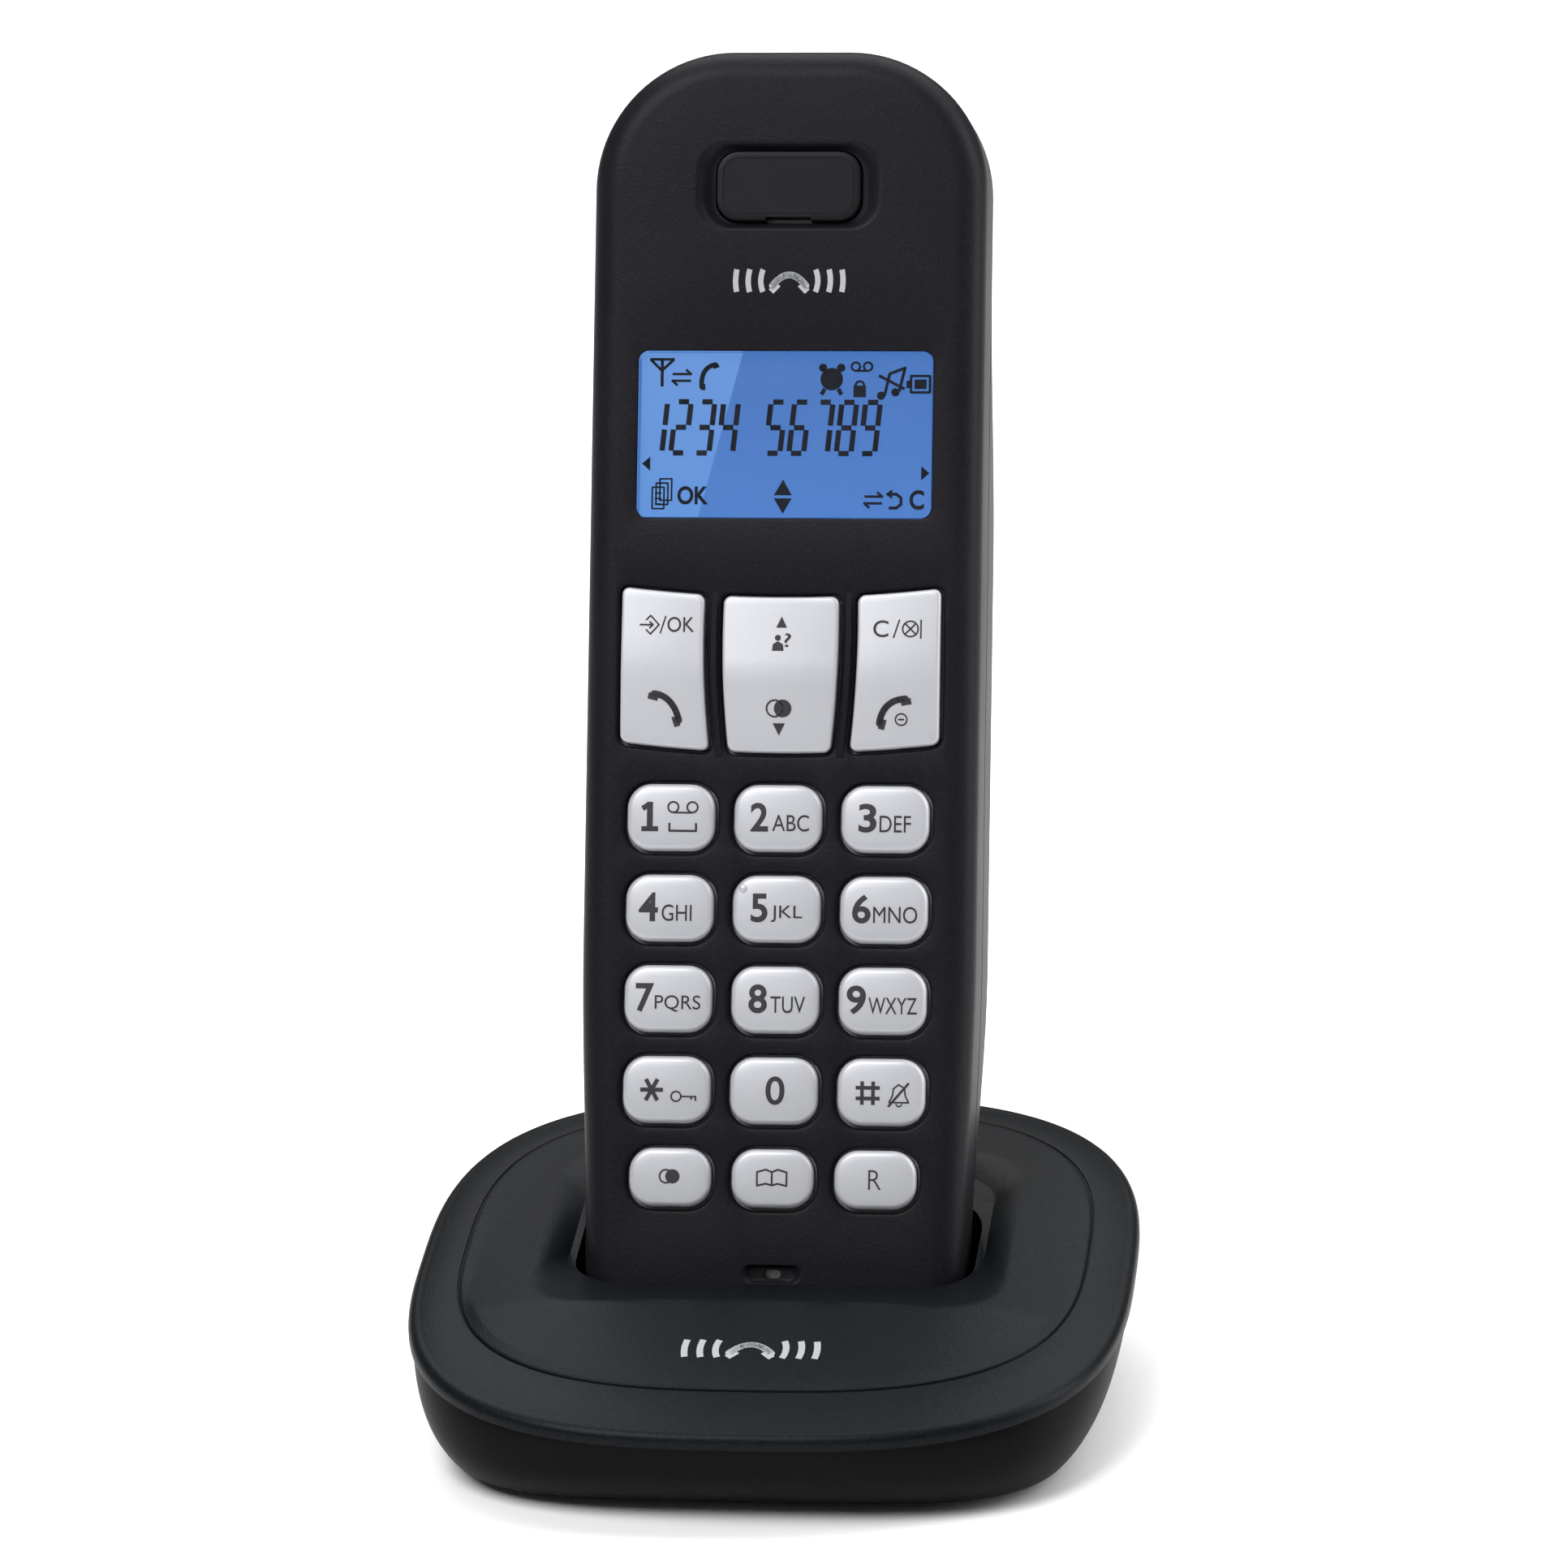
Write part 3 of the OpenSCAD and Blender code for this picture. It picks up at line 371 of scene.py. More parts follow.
front = bmesh.new()
rings = [at_depth(body_outline(front_edge * (1 - math.sin(a))), front_edge * (1 - math.cos(a)))
         for a in quarter(9)]
rings += [at_depth(body_outline(0), seam - 0.30), at_depth(body_outline(0.22), seam - 0.04),
          at_depth(body_outline(wall), seam - 0.04)]
rings += [at_depth(body_outline(front_edge - (front_edge - wall) * math.cos(a)),
                   front_edge - (front_edge - wall) * math.sin(a)) for a in quarter(4)]
skins = add_rings(front, rings)
face_loops, back_loops = [skins[0]], [skins[-1]]


def open_front(outline_at, lip):
    face_loop, back_loop = lipped_hole(front, outline_at, lip, wall)
    face_loops.append(face_loop)
    back_loops.append(back_loop)


for row in range(5):
    for column in (-1, 0, 1):
        w, h = key_size(row)
        x, z = key_place(row, column)
        open_front(lambda grow, w=w, h=h, x=x, z=z: rounded(
            w + 2 * (key_gap + grow), h + 2 * (key_gap + grow), key_r + key_gap + grow, x, z), 0.5)
for column in (-1, 0, 1):
    open_front(lambda grow, column=column: rocker_outline(column, -key_gap - grow,
                                                          0.8 + key_gap + grow), 0.4)
open_front(lambda grow: rounded(window_w + 2 * grow, window_h + 2 * grow, 1.4 + grow,
                                0, window_z), 0.3)
# The earpiece recess: a sloping border down to a flat floor, with the cap's opening in it
ear_rings = [at_depth(rounded(22.2 - 4.2 * s, 10.6 - 1.9 * s, 3.6 - 0.8 * s, 0, ear_z),
                      1.1 * ease(s)) for s in (-0.08, 0, 0.15, 0.3, 0.5, 0.7, 0.85, 1)]
ear_rings.append(at_depth(rounded(ear_w + 0.4, ear_h + 0.4, 2.7, 0, ear_z), 1.1))
ear_rings.append(at_depth(rounded(ear_w + 0.4, ear_h + 0.4, 2.7, 0, ear_z), wall))
ear = add_rings(front, ear_rings)
face_loops.append(ear[0])
back_loops.append(ear[-1])
# The microphone: a small scoop with a hole in it
mic_rings = [at_depth(rounded(7.2 - 2.4 * s, 2.2 - 0.6 * s, 1.0 - 0.3 * s, 0, 7.1), 0.6 * ease(s))
             for s in (-0.12, 0, 0.12, 0.25, 0.5, 0.75, 1)]
mic_rings += [at_depth(rounded(2.1, 1.0, 0.45, 0, 7.1), y) for y in (0.62, wall)]
mic = add_rings(front, mic_rings)
face_loops.append(mic[0])
back_loops.append(mic[-1])
fill_between(front, face_loops)
fill_between(front, back_loops)
# Raised bars between the rocker keys, with the ridge of the keys carried across them
for side in (-1, 1):
    bar = []
    for v, y in ((-1.07, 0.1), (-1.06, -0.12), (-0.5, -0.3), (0, -0.55), (0.5, -0.3),
                 (1.06, -0.12), (1.07, 0.1)):
        inner, outer = nav_inner(v) + key_gap + 0.32, nav_inner(v) + nav_bar - key_gap - 0.32
        z = nav_z + v * nav_h / 2 + 0.15
        bar.append([(side * inner, 0.3, z), (side * inner, y + 0.2, z),
                    (side * (inner + 0.18), y, z), (side * (outer - 0.18), y, z),
                    (side * outer, y + 0.2, z), (side * outer, 0.3, z)])
    add_rings(front, bar, first_cap=True, last_cap=True)
front_shell = finish_mesh("front_shell", front, handset_black, dock)


def take_mesh(piece):
    """Applies the piece's modifiers to its mesh"""
    bpy.context.view_layer.update()
    result = piece.evaluated_get(bpy.context.evaluated_depsgraph_get())
    mesh = bpy.data.meshes.new_from_object(result)
    piece.modifiers.clear()
    piece.data = mesh


def carve(piece, tool, operation="DIFFERENCE"):
    """Cuts the tool out of the piece, or joins it to it, and removes the tool"""
    cut = piece.modifiers.new("cut", "BOOLEAN")
    cut.operation, cut.solver, cut.object = operation, "EXACT", tool
    take_mesh(piece)
    bpy.data.objects.remove(tool)
    bm = bmesh.new()
    bm.from_mesh(piece.data)
    for edge in bm.edges:
        if len(edge.link_faces) == 2 and edge.calc_face_angle(0) > math.radians(32):
            edge.smooth = False
    bm.to_mesh(piece.data)
    bm.free()


def block(x0, x1, y0, y1, z0, z1, material, place=None, bevel=0.0):
    """A block between two corners, its edges rounded by bevel"""
    bm = bmesh.new()
    made = bmesh.ops.create_cube(bm, size=1.0)
    size = (x1 - x0, y1 - y0, z1 - z0)
    middle = ((x0 + x1) / 2, (y0 + y1) / 2, (z0 + z1) / 2)
    for corner in made["verts"]:
        corner.co = [m + c * s for m, c, s in zip(middle, corner.co, size)]
    if bevel:
        bmesh.ops.bevel(bm, geom=bm.edges[:], offset=bevel, segments=3, profile=0.5,
                        affect="EDGES")
    return finish_mesh("block", bm, material, place)


for side in (-1, 1):
    carve(front_shell, block(side * 9 - 2.4, side * 9 + 2.4, 4.2, 9.0, -1, 3, handset_black, dock))
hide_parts("handset_front_shell")
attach(front_shell, "handset")

# ---- Handset back shell ---------------------------------------------------------------
# The back half of the handset, moulded in the same plastic. It holds the battery bay, a
# recess that the door slides in, the ringer's sound slots and four screw holes.

door_y, door_foot, door_end, door_w = 23.2, 45.0, 100.0, 35.0


def back_at(z):
    """Depth of the handset's back at a height: deepest over the battery"""
    if z < 60:
        return 18 + 7 * ease((z - 10) / 33)
    return 25 - 7.5 * ease((z - 94) / 31.25)


def back_ring(inset, drop, start=None):
    """A ring round the back: drop is measured from the back, or start from the face"""
    return [(x, (back_at(z) - drop) if start is None else start, z)
            for x, z in body_outline(inset)]


def cross_strips(bm, ring):
    """Closes a ring that is alike left and right with strips across it"""
    last = len(ring)
    for i in range(last // 2):
        corners = [ring[i], ring[i + 1], ring[(last - i - 1) % last], ring[(last - i) % last]]
        bm.faces.new(list(dict.fromkeys(corners)))


def back_body(inset, top=seam + 0.04):
    """The closed back half of the handset's form, drawn in by inset all round"""
    bm = bmesh.new()
    edge = back_edge - inset
    rings = [back_ring(inset, 0, top), back_ring(inset, back_edge)]
    rings += [back_ring(inset + edge * (1 - math.cos(a)), back_edge - edge * math.sin(a))
              for a in quarter(9)[1:]]
    made = add_rings(bm, rings)
    cross_strips(bm, made[0])
    cross_strips(bm, made[-1])
    return bm


back = bmesh.new()
rings = [back_ring(wall, 0, seam + 0.04), back_ring(0.22, 0, seam + 0.04),
         back_ring(0, 0, seam + 0.30), back_ring(0, back_edge)]
rings += [back_ring(back_edge * (1 - math.cos(a)), back_edge * (1 - math.sin(a)))
          for a in quarter(9)[1:]]
inner_edge = back_edge - wall
inside = [back_ring(wall, 0, seam + 0.04), back_ring(wall, back_edge)]
inside += [back_ring(wall + inner_edge * (1 - math.cos(a)), back_edge - inner_edge * math.sin(a))
           for a in quarter(6)[1:]]
outer_made = add_rings(back, rings)
cross_strips(back, outer_made[-1])
inner_made = add_rings(back, inside)
cross_strips(back, inner_made[-1])
back_shell = finish_mesh("back_shell", back, handset_black, dock)


def in_handset_block(x0, x1, y0, y1, z0, z1):
    return block(x0, x1, y0, y1, z0, z1, handset_black, dock)


bay_floor = finish_mesh("bay_floor", back_body(0.9, 10.0), handset_black, dock)
carve(bay_floor, in_handset_block(-19.5, 19.5, 19.4, 30, 5, 103), "INTERSECT")
carve(back_shell, bay_floor, "UNION")
tray = finish_mesh("tray", back_body(0.9, 10.0), handset_black, dock)
carve(tray, in_handset_block(-12.6, 12.6, 10.3, 30, 46.3, 98.2), "INTERSECT")
carve(back_shell, tray, "UNION")
carve(back_shell, in_handset_block(-door_w / 2 - 0.2, door_w / 2 + 0.2, 23.0, 40, -1, 100.2))
carve(back_shell, in_handset_block(-11.4, 11.4, 11.5, 40, 47.5, 97.0))


def slot_rows(name, count, pitch, length, shorten, height, depth, material):
    """Geometry Nodes: a column of bars about the middle, each shorter than the one nearer it"""
    tree = bpy.data.node_groups.new(name + "_tree", "GeometryNodeTree")
    face = tree.interface
    face.new_socket("Geometry", in_out="OUTPUT", socket_type="NodeSocketGeometry")
    ids = {}
    for label, kind in (("Count", "NodeSocketInt"), ("Pitch", "NodeSocketFloat"),
                        ("Length", "NodeSocketFloat"), ("Shorten", "NodeSocketFloat"),
                        ("Height", "NodeSocketFloat"), ("Depth", "NodeSocketFloat"),
                        ("Material", "NodeSocketMaterial")):
        ids[label] = face.new_socket(label, in_out="INPUT", socket_type=kind).identifier
    nodes, links = tree.nodes, tree.links
    given, out = nodes.new("NodeGroupInput"), nodes.new("NodeGroupOutput")
    maths = functools.partial(add_maths, tree)

    middle = maths("DIVIDE", maths("SUBTRACT", given.outputs["Count"], 1.0), 2.0)
    low = nodes.new("ShaderNodeCombineXYZ")
    links.new(maths("MULTIPLY", maths("MULTIPLY", middle, given.outputs["Pitch"]), -1.0),
              low.inputs["Z"])
    step = nodes.new("ShaderNodeCombineXYZ")
    links.new(given.outputs["Pitch"], step.inputs["Z"])
    column = nodes.new("GeometryNodeMeshLine")
    links.new(given.outputs["Count"], column.inputs["Count"])
    links.new(low.outputs[0], column.inputs["Start Location"])
    links.new(step.outputs[0], column.inputs["Offset"])
    index = nodes.new("GeometryNodeInputIndex").outputs[0]
    from_middle = maths("ABSOLUTE", maths("SUBTRACT", index, middle))
    stretch = nodes.new("ShaderNodeCombineXYZ")
    links.new(maths("SUBTRACT", given.outputs["Length"],
                    maths("MULTIPLY", from_middle, given.outputs["Shorten"])), stretch.inputs["X"])
    links.new(given.outputs["Depth"], stretch.inputs["Y"])
    links.new(given.outputs["Height"], stretch.inputs["Z"])
    bar = nodes.new("GeometryNodeMeshCube")
    copies = nodes.new("GeometryNodeInstanceOnPoints")
    links.new(column.outputs["Mesh"], copies.inputs["Points"])
    links.new(bar.outputs["Mesh"], copies.inputs["Instance"])
    links.new(stretch.outputs[0], copies.inputs["Scale"])
    real = nodes.new("GeometryNodeRealizeInstances")
    finish = nodes.new("GeometryNodeSetMaterial")
    links.new(copies.outputs[0], real.inputs[0])
    links.new(real.outputs[0], finish.inputs["Geometry"])
    links.new(given.outputs["Material"], finish.inputs["Material"])
    links.new(finish.outputs[0], out.inputs[0])
    holder = link(name, bpy.data.meshes.new(name))
    made = holder.modifiers.new("rows", "NODES")
    made.node_group = tree
    for label, value in (("Count", count), ("Pitch", pitch), ("Length", length),
                         ("Shorten", shorten), ("Height", height), ("Depth", depth),
                         ("Material", material)):
        made[ids[label]] = value
    take_mesh(holder)
    return holder


def set_in_handset(piece, x, y, z):
    """Moves a mesh made about zero, in millimetres, to its place on the handset"""
    piece.data.transform(dock @ Matrix.Translation((x * MM, y * MM, z * MM)) @ Matrix.Scale(MM, 4))


sound_slots = slot_rows("sound_slots", 5, 2.4, 10.0, 2.0, 1.0, 12.0, handset_black)
set_in_handset(sound_slots, 0, 20, 117)
carve(back_shell, sound_slots)


def pin(name, r, y0, y1, x, z, material, steps=24):
    """A plain round pin in the handset, square to its face"""
    bm = bmesh.new()
    add_rings(bm, [[(x + r * math.cos(2 * math.pi * i / steps), y,
                     z + r * math.sin(2 * math.pi * i / steps)) for i in range(steps)]
                   for y in (y0, y1)], first_cap=True, last_cap=True)
    return finish_mesh(name, bm, material, dock)


hand_screws = [(15.8, 91.55, 21.6), (14.0, 10.8, 16.3)]
for side in (-1, 1):
    for x, z, seat in hand_screws:
        carve(back_shell, pin("hole", 1.7, seat, 40, side * x, z, handset_black))
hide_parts("handset_back_shell")
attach(back_shell, "handset")

# ---- Battery door ---------------------------------------------------------------------
# A shallow sliding cover over the two cells, in the back shell's plastic, with five grip
# grooves for the thumb near its top. Its faces follow the back of the handset.

door = bmesh.new()
door_rings = []
for z in [door_foot + 0.05, door_foot + 0.25] + [46 + 2.1 * i for i in range(26)] + [
        door_end - 0.25, door_end - 0.05]:
    half, out = door_w / 2, back_at(z) - (0.25 if z in (door_foot + 0.05, door_end - 0.05) else 0)
    flat = hand_w / 2 - back_edge
    across = [-half, -flat, -flat * 0.5, 0, flat * 0.5, flat, half]
    ring = [(x, door_y + 0.02, z) for x in across]
    ring += [(x, out - max(0.0, back_edge - math.sqrt(max(0.0, back_edge ** 2 - max(
        0.0, abs(x) - flat) ** 2))), z) for x in reversed(across)]
    door_rings.append(ring)
add_rings(door, door_rings, first_cap=True, last_cap=True)
battery_door = finish_mesh("battery_door_cover", door, handset_black, dock)
grooves = slot_rows("grip_grooves", 5, 2.2, 14.0, 0.0, 1.0, 1.6, handset_black)
set_in_handset(grooves, 0, 25.1, 87)
carve(battery_door, grooves)
soften = battery_door.modifiers.new("soften", "BEVEL")
soften.width, soften.segments, soften.limit_method = 0.12 * MM, 2, "ANGLE"
soften.angle_limit = math.radians(40)
take_mesh(battery_door)
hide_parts("battery_door")
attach(battery_door, "battery_door")

# ---- Number keys ----------------------------------------------------------------------
# Fifteen keys moulded in grey plastic and painted satin silver, each with a soft crowned top
# and a flange behind the shell. Their signs are printed in black; the 5 has a raised dot.

key_silver = moulded("key_silver", (0.40, 0.405, 0.43), grain=0.16, depth=0.006, rough=0.42,
                     mottle=0.10, spread=0.12, metallic=0.30, shine=0.5)
ink_black = moulded("ink_black", (0.022, 0.021, 0.024), grain=0.2, depth=0.003, rough=0.55,
                    shine=0.25)
key_edge, key_proud, key_crown = 0.7, 1.0, 40
flange_front, flange_back, flange_lip, plunger_r = 2.22, 3.0, 0.5, 1.3
key_nodes = [["key_1", "key_2", "key_3"], ["key_4", "key_5", "key_6"],
             ["key_7", "key_8", "key_9"], ["key_star", "key_0", "key_hash"],
             ["key_redial", "key_phonebook", "key_recall"]]


def crowned(x, z):
    """Depth of a key's top, from its own middle"""
    return -key_proud + (x * x + z * z) / (2 * key_crown)


def add_pin(bm, r, y0, y1, x, z, steps=20):
    add_rings(bm, [[(x + r * math.cos(2 * math.pi * i / steps), y,
                     z + r * math.sin(2 * math.pi * i / steps)) for i in range(steps)]
                   for y in (y0, y1)], first_cap=True, last_cap=True)


def cap_rings(outline_at, top_at, front_y, back_y, edge):
    """Rings of a key's cap from the back of its flange to the end of its rounded edge"""
    rings = [at_depth(outline_at(-flange_lip), y) for y in (back_y, front_y)]
    rings.append(at_depth(outline_at(0), front_y))
    for a in quarter(6):
        inset = edge * (1 - math.cos(a))
        rings.append([(x, top_at(x, z) + edge * (1 - math.sin(a)), z)
                      for x, z in outline_at(inset)])
    return rings


def own_piece(piece, node):
    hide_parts(node)
    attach(piece, node)


for row, names in enumerate(key_nodes):
    for column, node in zip((-1, 0, 1), names):
        w, h = key_size(row)
        x, z = key_place(row, column)
        cap = bmesh.new()

        def key_outline(inset):
            return rounded(w - 2 * inset, h - 2 * inset, key_r - inset, x, z)

        rings = cap_rings(key_outline, lambda a, b: crowned(a - x, b - z),
                          flange_front, flange_back, key_edge)
        for scale in (0.8, 0.6, 0.4, 0.2):
            rings.append([(x + (a - x) * scale, crowned((a - x) * scale, (b - z) * scale),
                           z + (b - z) * scale) for a, b in key_outline(key_edge)])
        add_rings(cap, rings, first_cap=True, last_cap=True)
        add_pin(cap, plunger_r, 2.9, 4.45, x, z)
        own_piece(finish_mesh(node + "_cap", cap, key_silver, dock), node)


def flat_text(body, x0, x1, z0, z1, weight=0.0):
    """The faces of a line of signs, drawn out to fill a frame"""
    curve = bpy.data.curves.new("signs", "FONT")
    curve.body, curve.offset, curve.resolution_u = body, weight, 6
    holder = link("signs", curve)
    bpy.context.view_layer.update()
    mesh = bpy.data.meshes.new_from_object(
        holder.evaluated_get(bpy.context.evaluated_depsgraph_get()))
    bpy.data.objects.remove(holder)
    across = [point.co.x for point in mesh.vertices]
    up = [point.co.y for point in mesh.vertices]
    wide, tall = max(across) - min(across), max(up) - min(up)
    spots = [(x0 + (a - min(across)) / wide * (x1 - x0), z0 + (b - min(up)) / tall * (z1 - z0))
             for a, b in zip(across, up)]
    return [[spots[i] for i in face.vertices] for face in mesh.polygons]


def disc(x, z, r, steps=24):
    return [[(x + r * math.cos(2 * math.pi * i / steps), z + r * math.sin(2 * math.pi * i / steps))
             for i in range(steps)]]


ink_spread = 1.28


def stroke(points, width, closed=False, ends=False):
    """A line of even width, with round joins; printing spreads its width"""
    shapes, last, width = [], len(points), width * ink_spread
    for i in range(last if closed else last - 1):
        (x0, z0), (x1, z1) = points[i], points[(i + 1) % last]
        span = math.hypot(x1 - x0, z1 - z0)
        a, b = (z0 - z1) / span * width / 2, (x1 - x0) / span * width / 2
        shapes.append([(x0 + a, z0 + b), (x0 - a, z0 - b), (x1 - a, z1 - b), (x1 + a, z1 + b)])
    joins = points if closed or ends else points[1:-1]
    for x, z in joins:
        shapes += disc(x, z, width / 2, 10)
    return shapes


def hoop(x, z, r, width, start=0, end=360):
    width *= ink_spread
    steps = max(6, abs(end - start) // 15)
    inner, outer = arc(x, z, r - width / 2, start, end, steps), arc(x, z, r + width / 2,
                                                                     start, end, steps)
    return [[inner[i], inner[i + 1], outer[i + 1], outer[i]] for i in range(steps)]


def printed(name, shapes, x, z, top, body, ink, lift=0.03, place=dock):
    """Ink laid on a surface: top(x, z) gives the surface's depth"""
    bm = bmesh.new()
    for shape in shapes:
        bm.faces.new([bm.verts.new((x + a, 0, z + b)) for a, b in shape])
    bmesh.ops.triangulate(bm, faces=bm.faces[:])
    for _ in range(2):
        far = [edge for edge in bm.edges if edge.calc_length() > 0.9]
        bmesh.ops.subdivide_edges(bm, edges=far, cuts=1)
        bmesh.ops.triangulate(bm, faces=bm.faces[:])
    for corner in bm.verts:
        corner.co.y = top(corner.co.x, corner.co.z) - lift
    bm.normal_update()
    for face in bm.faces:
        if face.normal.y > 0:
            face.normal_flip()
    piece = finish_mesh(name, bm, ink, place, outward=False)
    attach(piece, body)
    return piece


def number_sign(digit, x0, x1, letters="", a0=0.0, a1=0.0):
    shapes = flat_text(digit, x0, x1, -1.6, 1.8, 0.022)
    return shapes + (flat_text(letters, a0, a1, -1.55, 0.4, 0.0) if letters else [])


def two_discs(x, z, r, width):
    """The redial sign: an open ring half behind a full disc"""
    return hoop(x - 0.45 * r, z, r - width / 2, width) + disc(x + 0.45 * r, z, r)


key_signs = {
    "key_1": stroke([(-3.35, 1.0), (-2.5, 1.55)], 0.5) + stroke([(-2.45, -1.6), (-2.45, 1.8)], 0.56)
    + stroke([(-3.45, -1.38), (-1.45, -1.38)], 0.46) + hoop(0.33, 1.2, 0.62, 0.17)
    + hoop(2.6, 1.2, 0.62, 0.17) + stroke([(0.33, 0.55), (2.6, 0.55)], 0.17)
    + stroke([(-0.1, -0.77), (-0.1, -1.6), (3.05, -1.6), (3.05, -0.77)], 0.2, ends=True),
    "key_2": number_sign("2", -3.2, -1.1, "ABC", -0.6, 3.75),
    "key_3": number_sign("3", -3.1, -0.96, "DEF", -0.6, 3.1),
    "key_4": number_sign("4", -3.6, -1.3, "GHI", -0.85, 2.7),
    "key_5": number_sign("5", -3.0, -1.0, "JKL", -0.6, 3.1),
    "key_6": number_sign("6", -3.7, -1.5, "MNO", -1.2, 4.0),
    "key_7": number_sign("7", -3.8, -1.6, "PQRS", -1.5, 3.9),
    "key_8": number_sign("8", -3.1, -0.9, "TUV", -0.5, 3.6),
    "key_9": number_sign("9", -4.2, -1.9, "WXYZ", -1.6, 4.1),
    "key_star": stroke([(-3.05, -0.05), (-0.35, -0.05)], 0.38)
    + stroke([(-2.4, -1.3), (-1.0, 1.2)], 0.38) + stroke([(-2.4, 1.2), (-1.0, -1.3)], 0.38)
    + hoop(1.2, -0.8, 0.58, 0.15) + stroke([(1.78, -0.8), (3.6, -0.8)], 0.15)
    + stroke([(3.5, -0.8), (3.5, -1.3)], 0.17) + stroke([(3.0, -0.8), (3.0, -1.15)], 0.17),
    "key_0": flat_text("0", -0.9, 1.35, -1.65, 1.7, 0.012),
    "key_hash": stroke([(-2.2, -1.5), (-2.2, 1.25)], 0.34)
    + stroke([(-0.9, -1.5), (-0.9, 1.25)], 0.34)
    + stroke([(-2.95, 0.5), (-0.1, 0.5)], 0.34) + stroke([(-2.95, -0.75), (-0.1, -0.75)], 0.34)
    + stroke([(1.0, -1.2), (1.4, -0.4), (1.5, 0.4), (2.1, 0.9), (2.8, 0.5), (2.9, -0.4),
              (3.3, -1.2)], 0.15, closed=True)
    + stroke([(0.9, -1.7), (3.3, 1.1)], 0.22) + hoop(2.15, -1.35, 0.32, 0.13, 180, 360),
    "key_redial": two_discs(0.0, 0.1, 0.85, 0.16),
    "key_phonebook": stroke([(0, -0.8), (0, 0.75), (-0.7, 1.05), (-1.75, 0.75), (-1.75, -0.85),
                             (-0.7, -0.6)], 0.17, closed=True)
    + stroke([(0, 0.75), (0.7, 1.05), (1.75, 0.75), (1.75, -0.85), (0.7, -0.6), (0, -0.8)], 0.17),
    "key_recall": flat_text("R", -0.75, 0.75, -1.15, 1.15, -0.012),
}
for row, names in enumerate(key_nodes):
    for column, node in zip((-1, 0, 1), names):
        x, z = key_place(row, column)
        printed(node + "_sign", key_signs[node], x, z, lambda a, b: crowned(a - x, b - z),
                node, ink_black)
dot = bmesh.new()
bmesh.ops.create_uvsphere(dot, u_segments=20, v_segments=10, radius=0.5)
for corner in dot.verts:
    corner.co = (corner.co.x - 3.9, corner.co.y * 0.45 - 0.72, corner.co.z + 50.0 + 2.35)
raised_dot = finish_mesh("key_5_dot", dot, key_silver, dock)
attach(raised_dot, "key_5")

# ---- Rocker keys ----------------------------------------------------------------------
# Three tall keys in the same painted plastic, each tilting about the ridge across its
# middle. The ridge is crisp on the middle key and soft on the outer two.


def rocker_top(column, x, z):
    v = (z - nav_z - nav_bow * (x / nav_half) ** 2) / (nav_h / 2)
    fall = abs(v) if column == 0 else math.hypot(v, soft_ridge) - soft_ridge
    return ridge_y + ridge_fall * fall


nav_column, nav_plunger = 13.624, 6.2
ridge_y, ridge_fall, soft_ridge = -1.33, 0.62, 0.2
rocker_nodes = ["rocker_menu_talk", "rocker_navigation", "rocker_clear_end"]
for column, node in zip((-1, 0, 1), rocker_nodes):
    cap = bmesh.new()
    rings = cap_rings(lambda inset: rocker_outline(column, inset, 0.9 - inset * 0.6),
                      lambda x, z: rocker_top(column, x, z), 2.63, 3.4, 0.42)
    made = add_rings(cap, rings, first_cap=True)
    cross_strips(cap, made[-1])
    for end in (-1, 1):
        add_pin(cap, plunger_r, 3.3, 4.87, column * nav_column, nav_z + end * nav_plunger)
    if column == 0:
        for face in cap.faces:
            face.tag = face.calc_center_median().z > nav_z
    own_piece(finish_mesh(node + "_cap", cap, key_silver, dock), node)


def wedge(x, z, half, tall):
    return [[(x - half, z), (x + half, z), (x, z + tall)]]


def receiver_sign(a, b, bulge, width, scale=1.0):
    """A telephone receiver between two ends, its handle bowed through a point"""
    handle = [(a[0] * (1 - t) ** 2 + bulge[0] * 2 * t * (1 - t) + b[0] * t * t,
               a[1] * (1 - t) ** 2 + bulge[1] * 2 * t * (1 - t) + b[1] * t * t)
              for t in [i / 10 for i in range(11)]]
    shapes = stroke(handle, width, ends=True)
    for end, near in ((a, handle[2]), (b, handle[8])):
        along = (near[0] - end[0], near[1] - end[1])
        span = math.hypot(*along)
        across = (-along[1] / span, along[0] / span)
        towards = across[0] * (bulge[0] - end[0]) + across[1] * (bulge[1] - end[1])
        inward = 1 if towards < 0 else -1
        shapes += stroke([end, (end[0] + inward * across[0] * 0.75 * scale,
                                end[1] + inward * across[1] * 0.75 * scale)], 0.95 * scale)
    return shapes


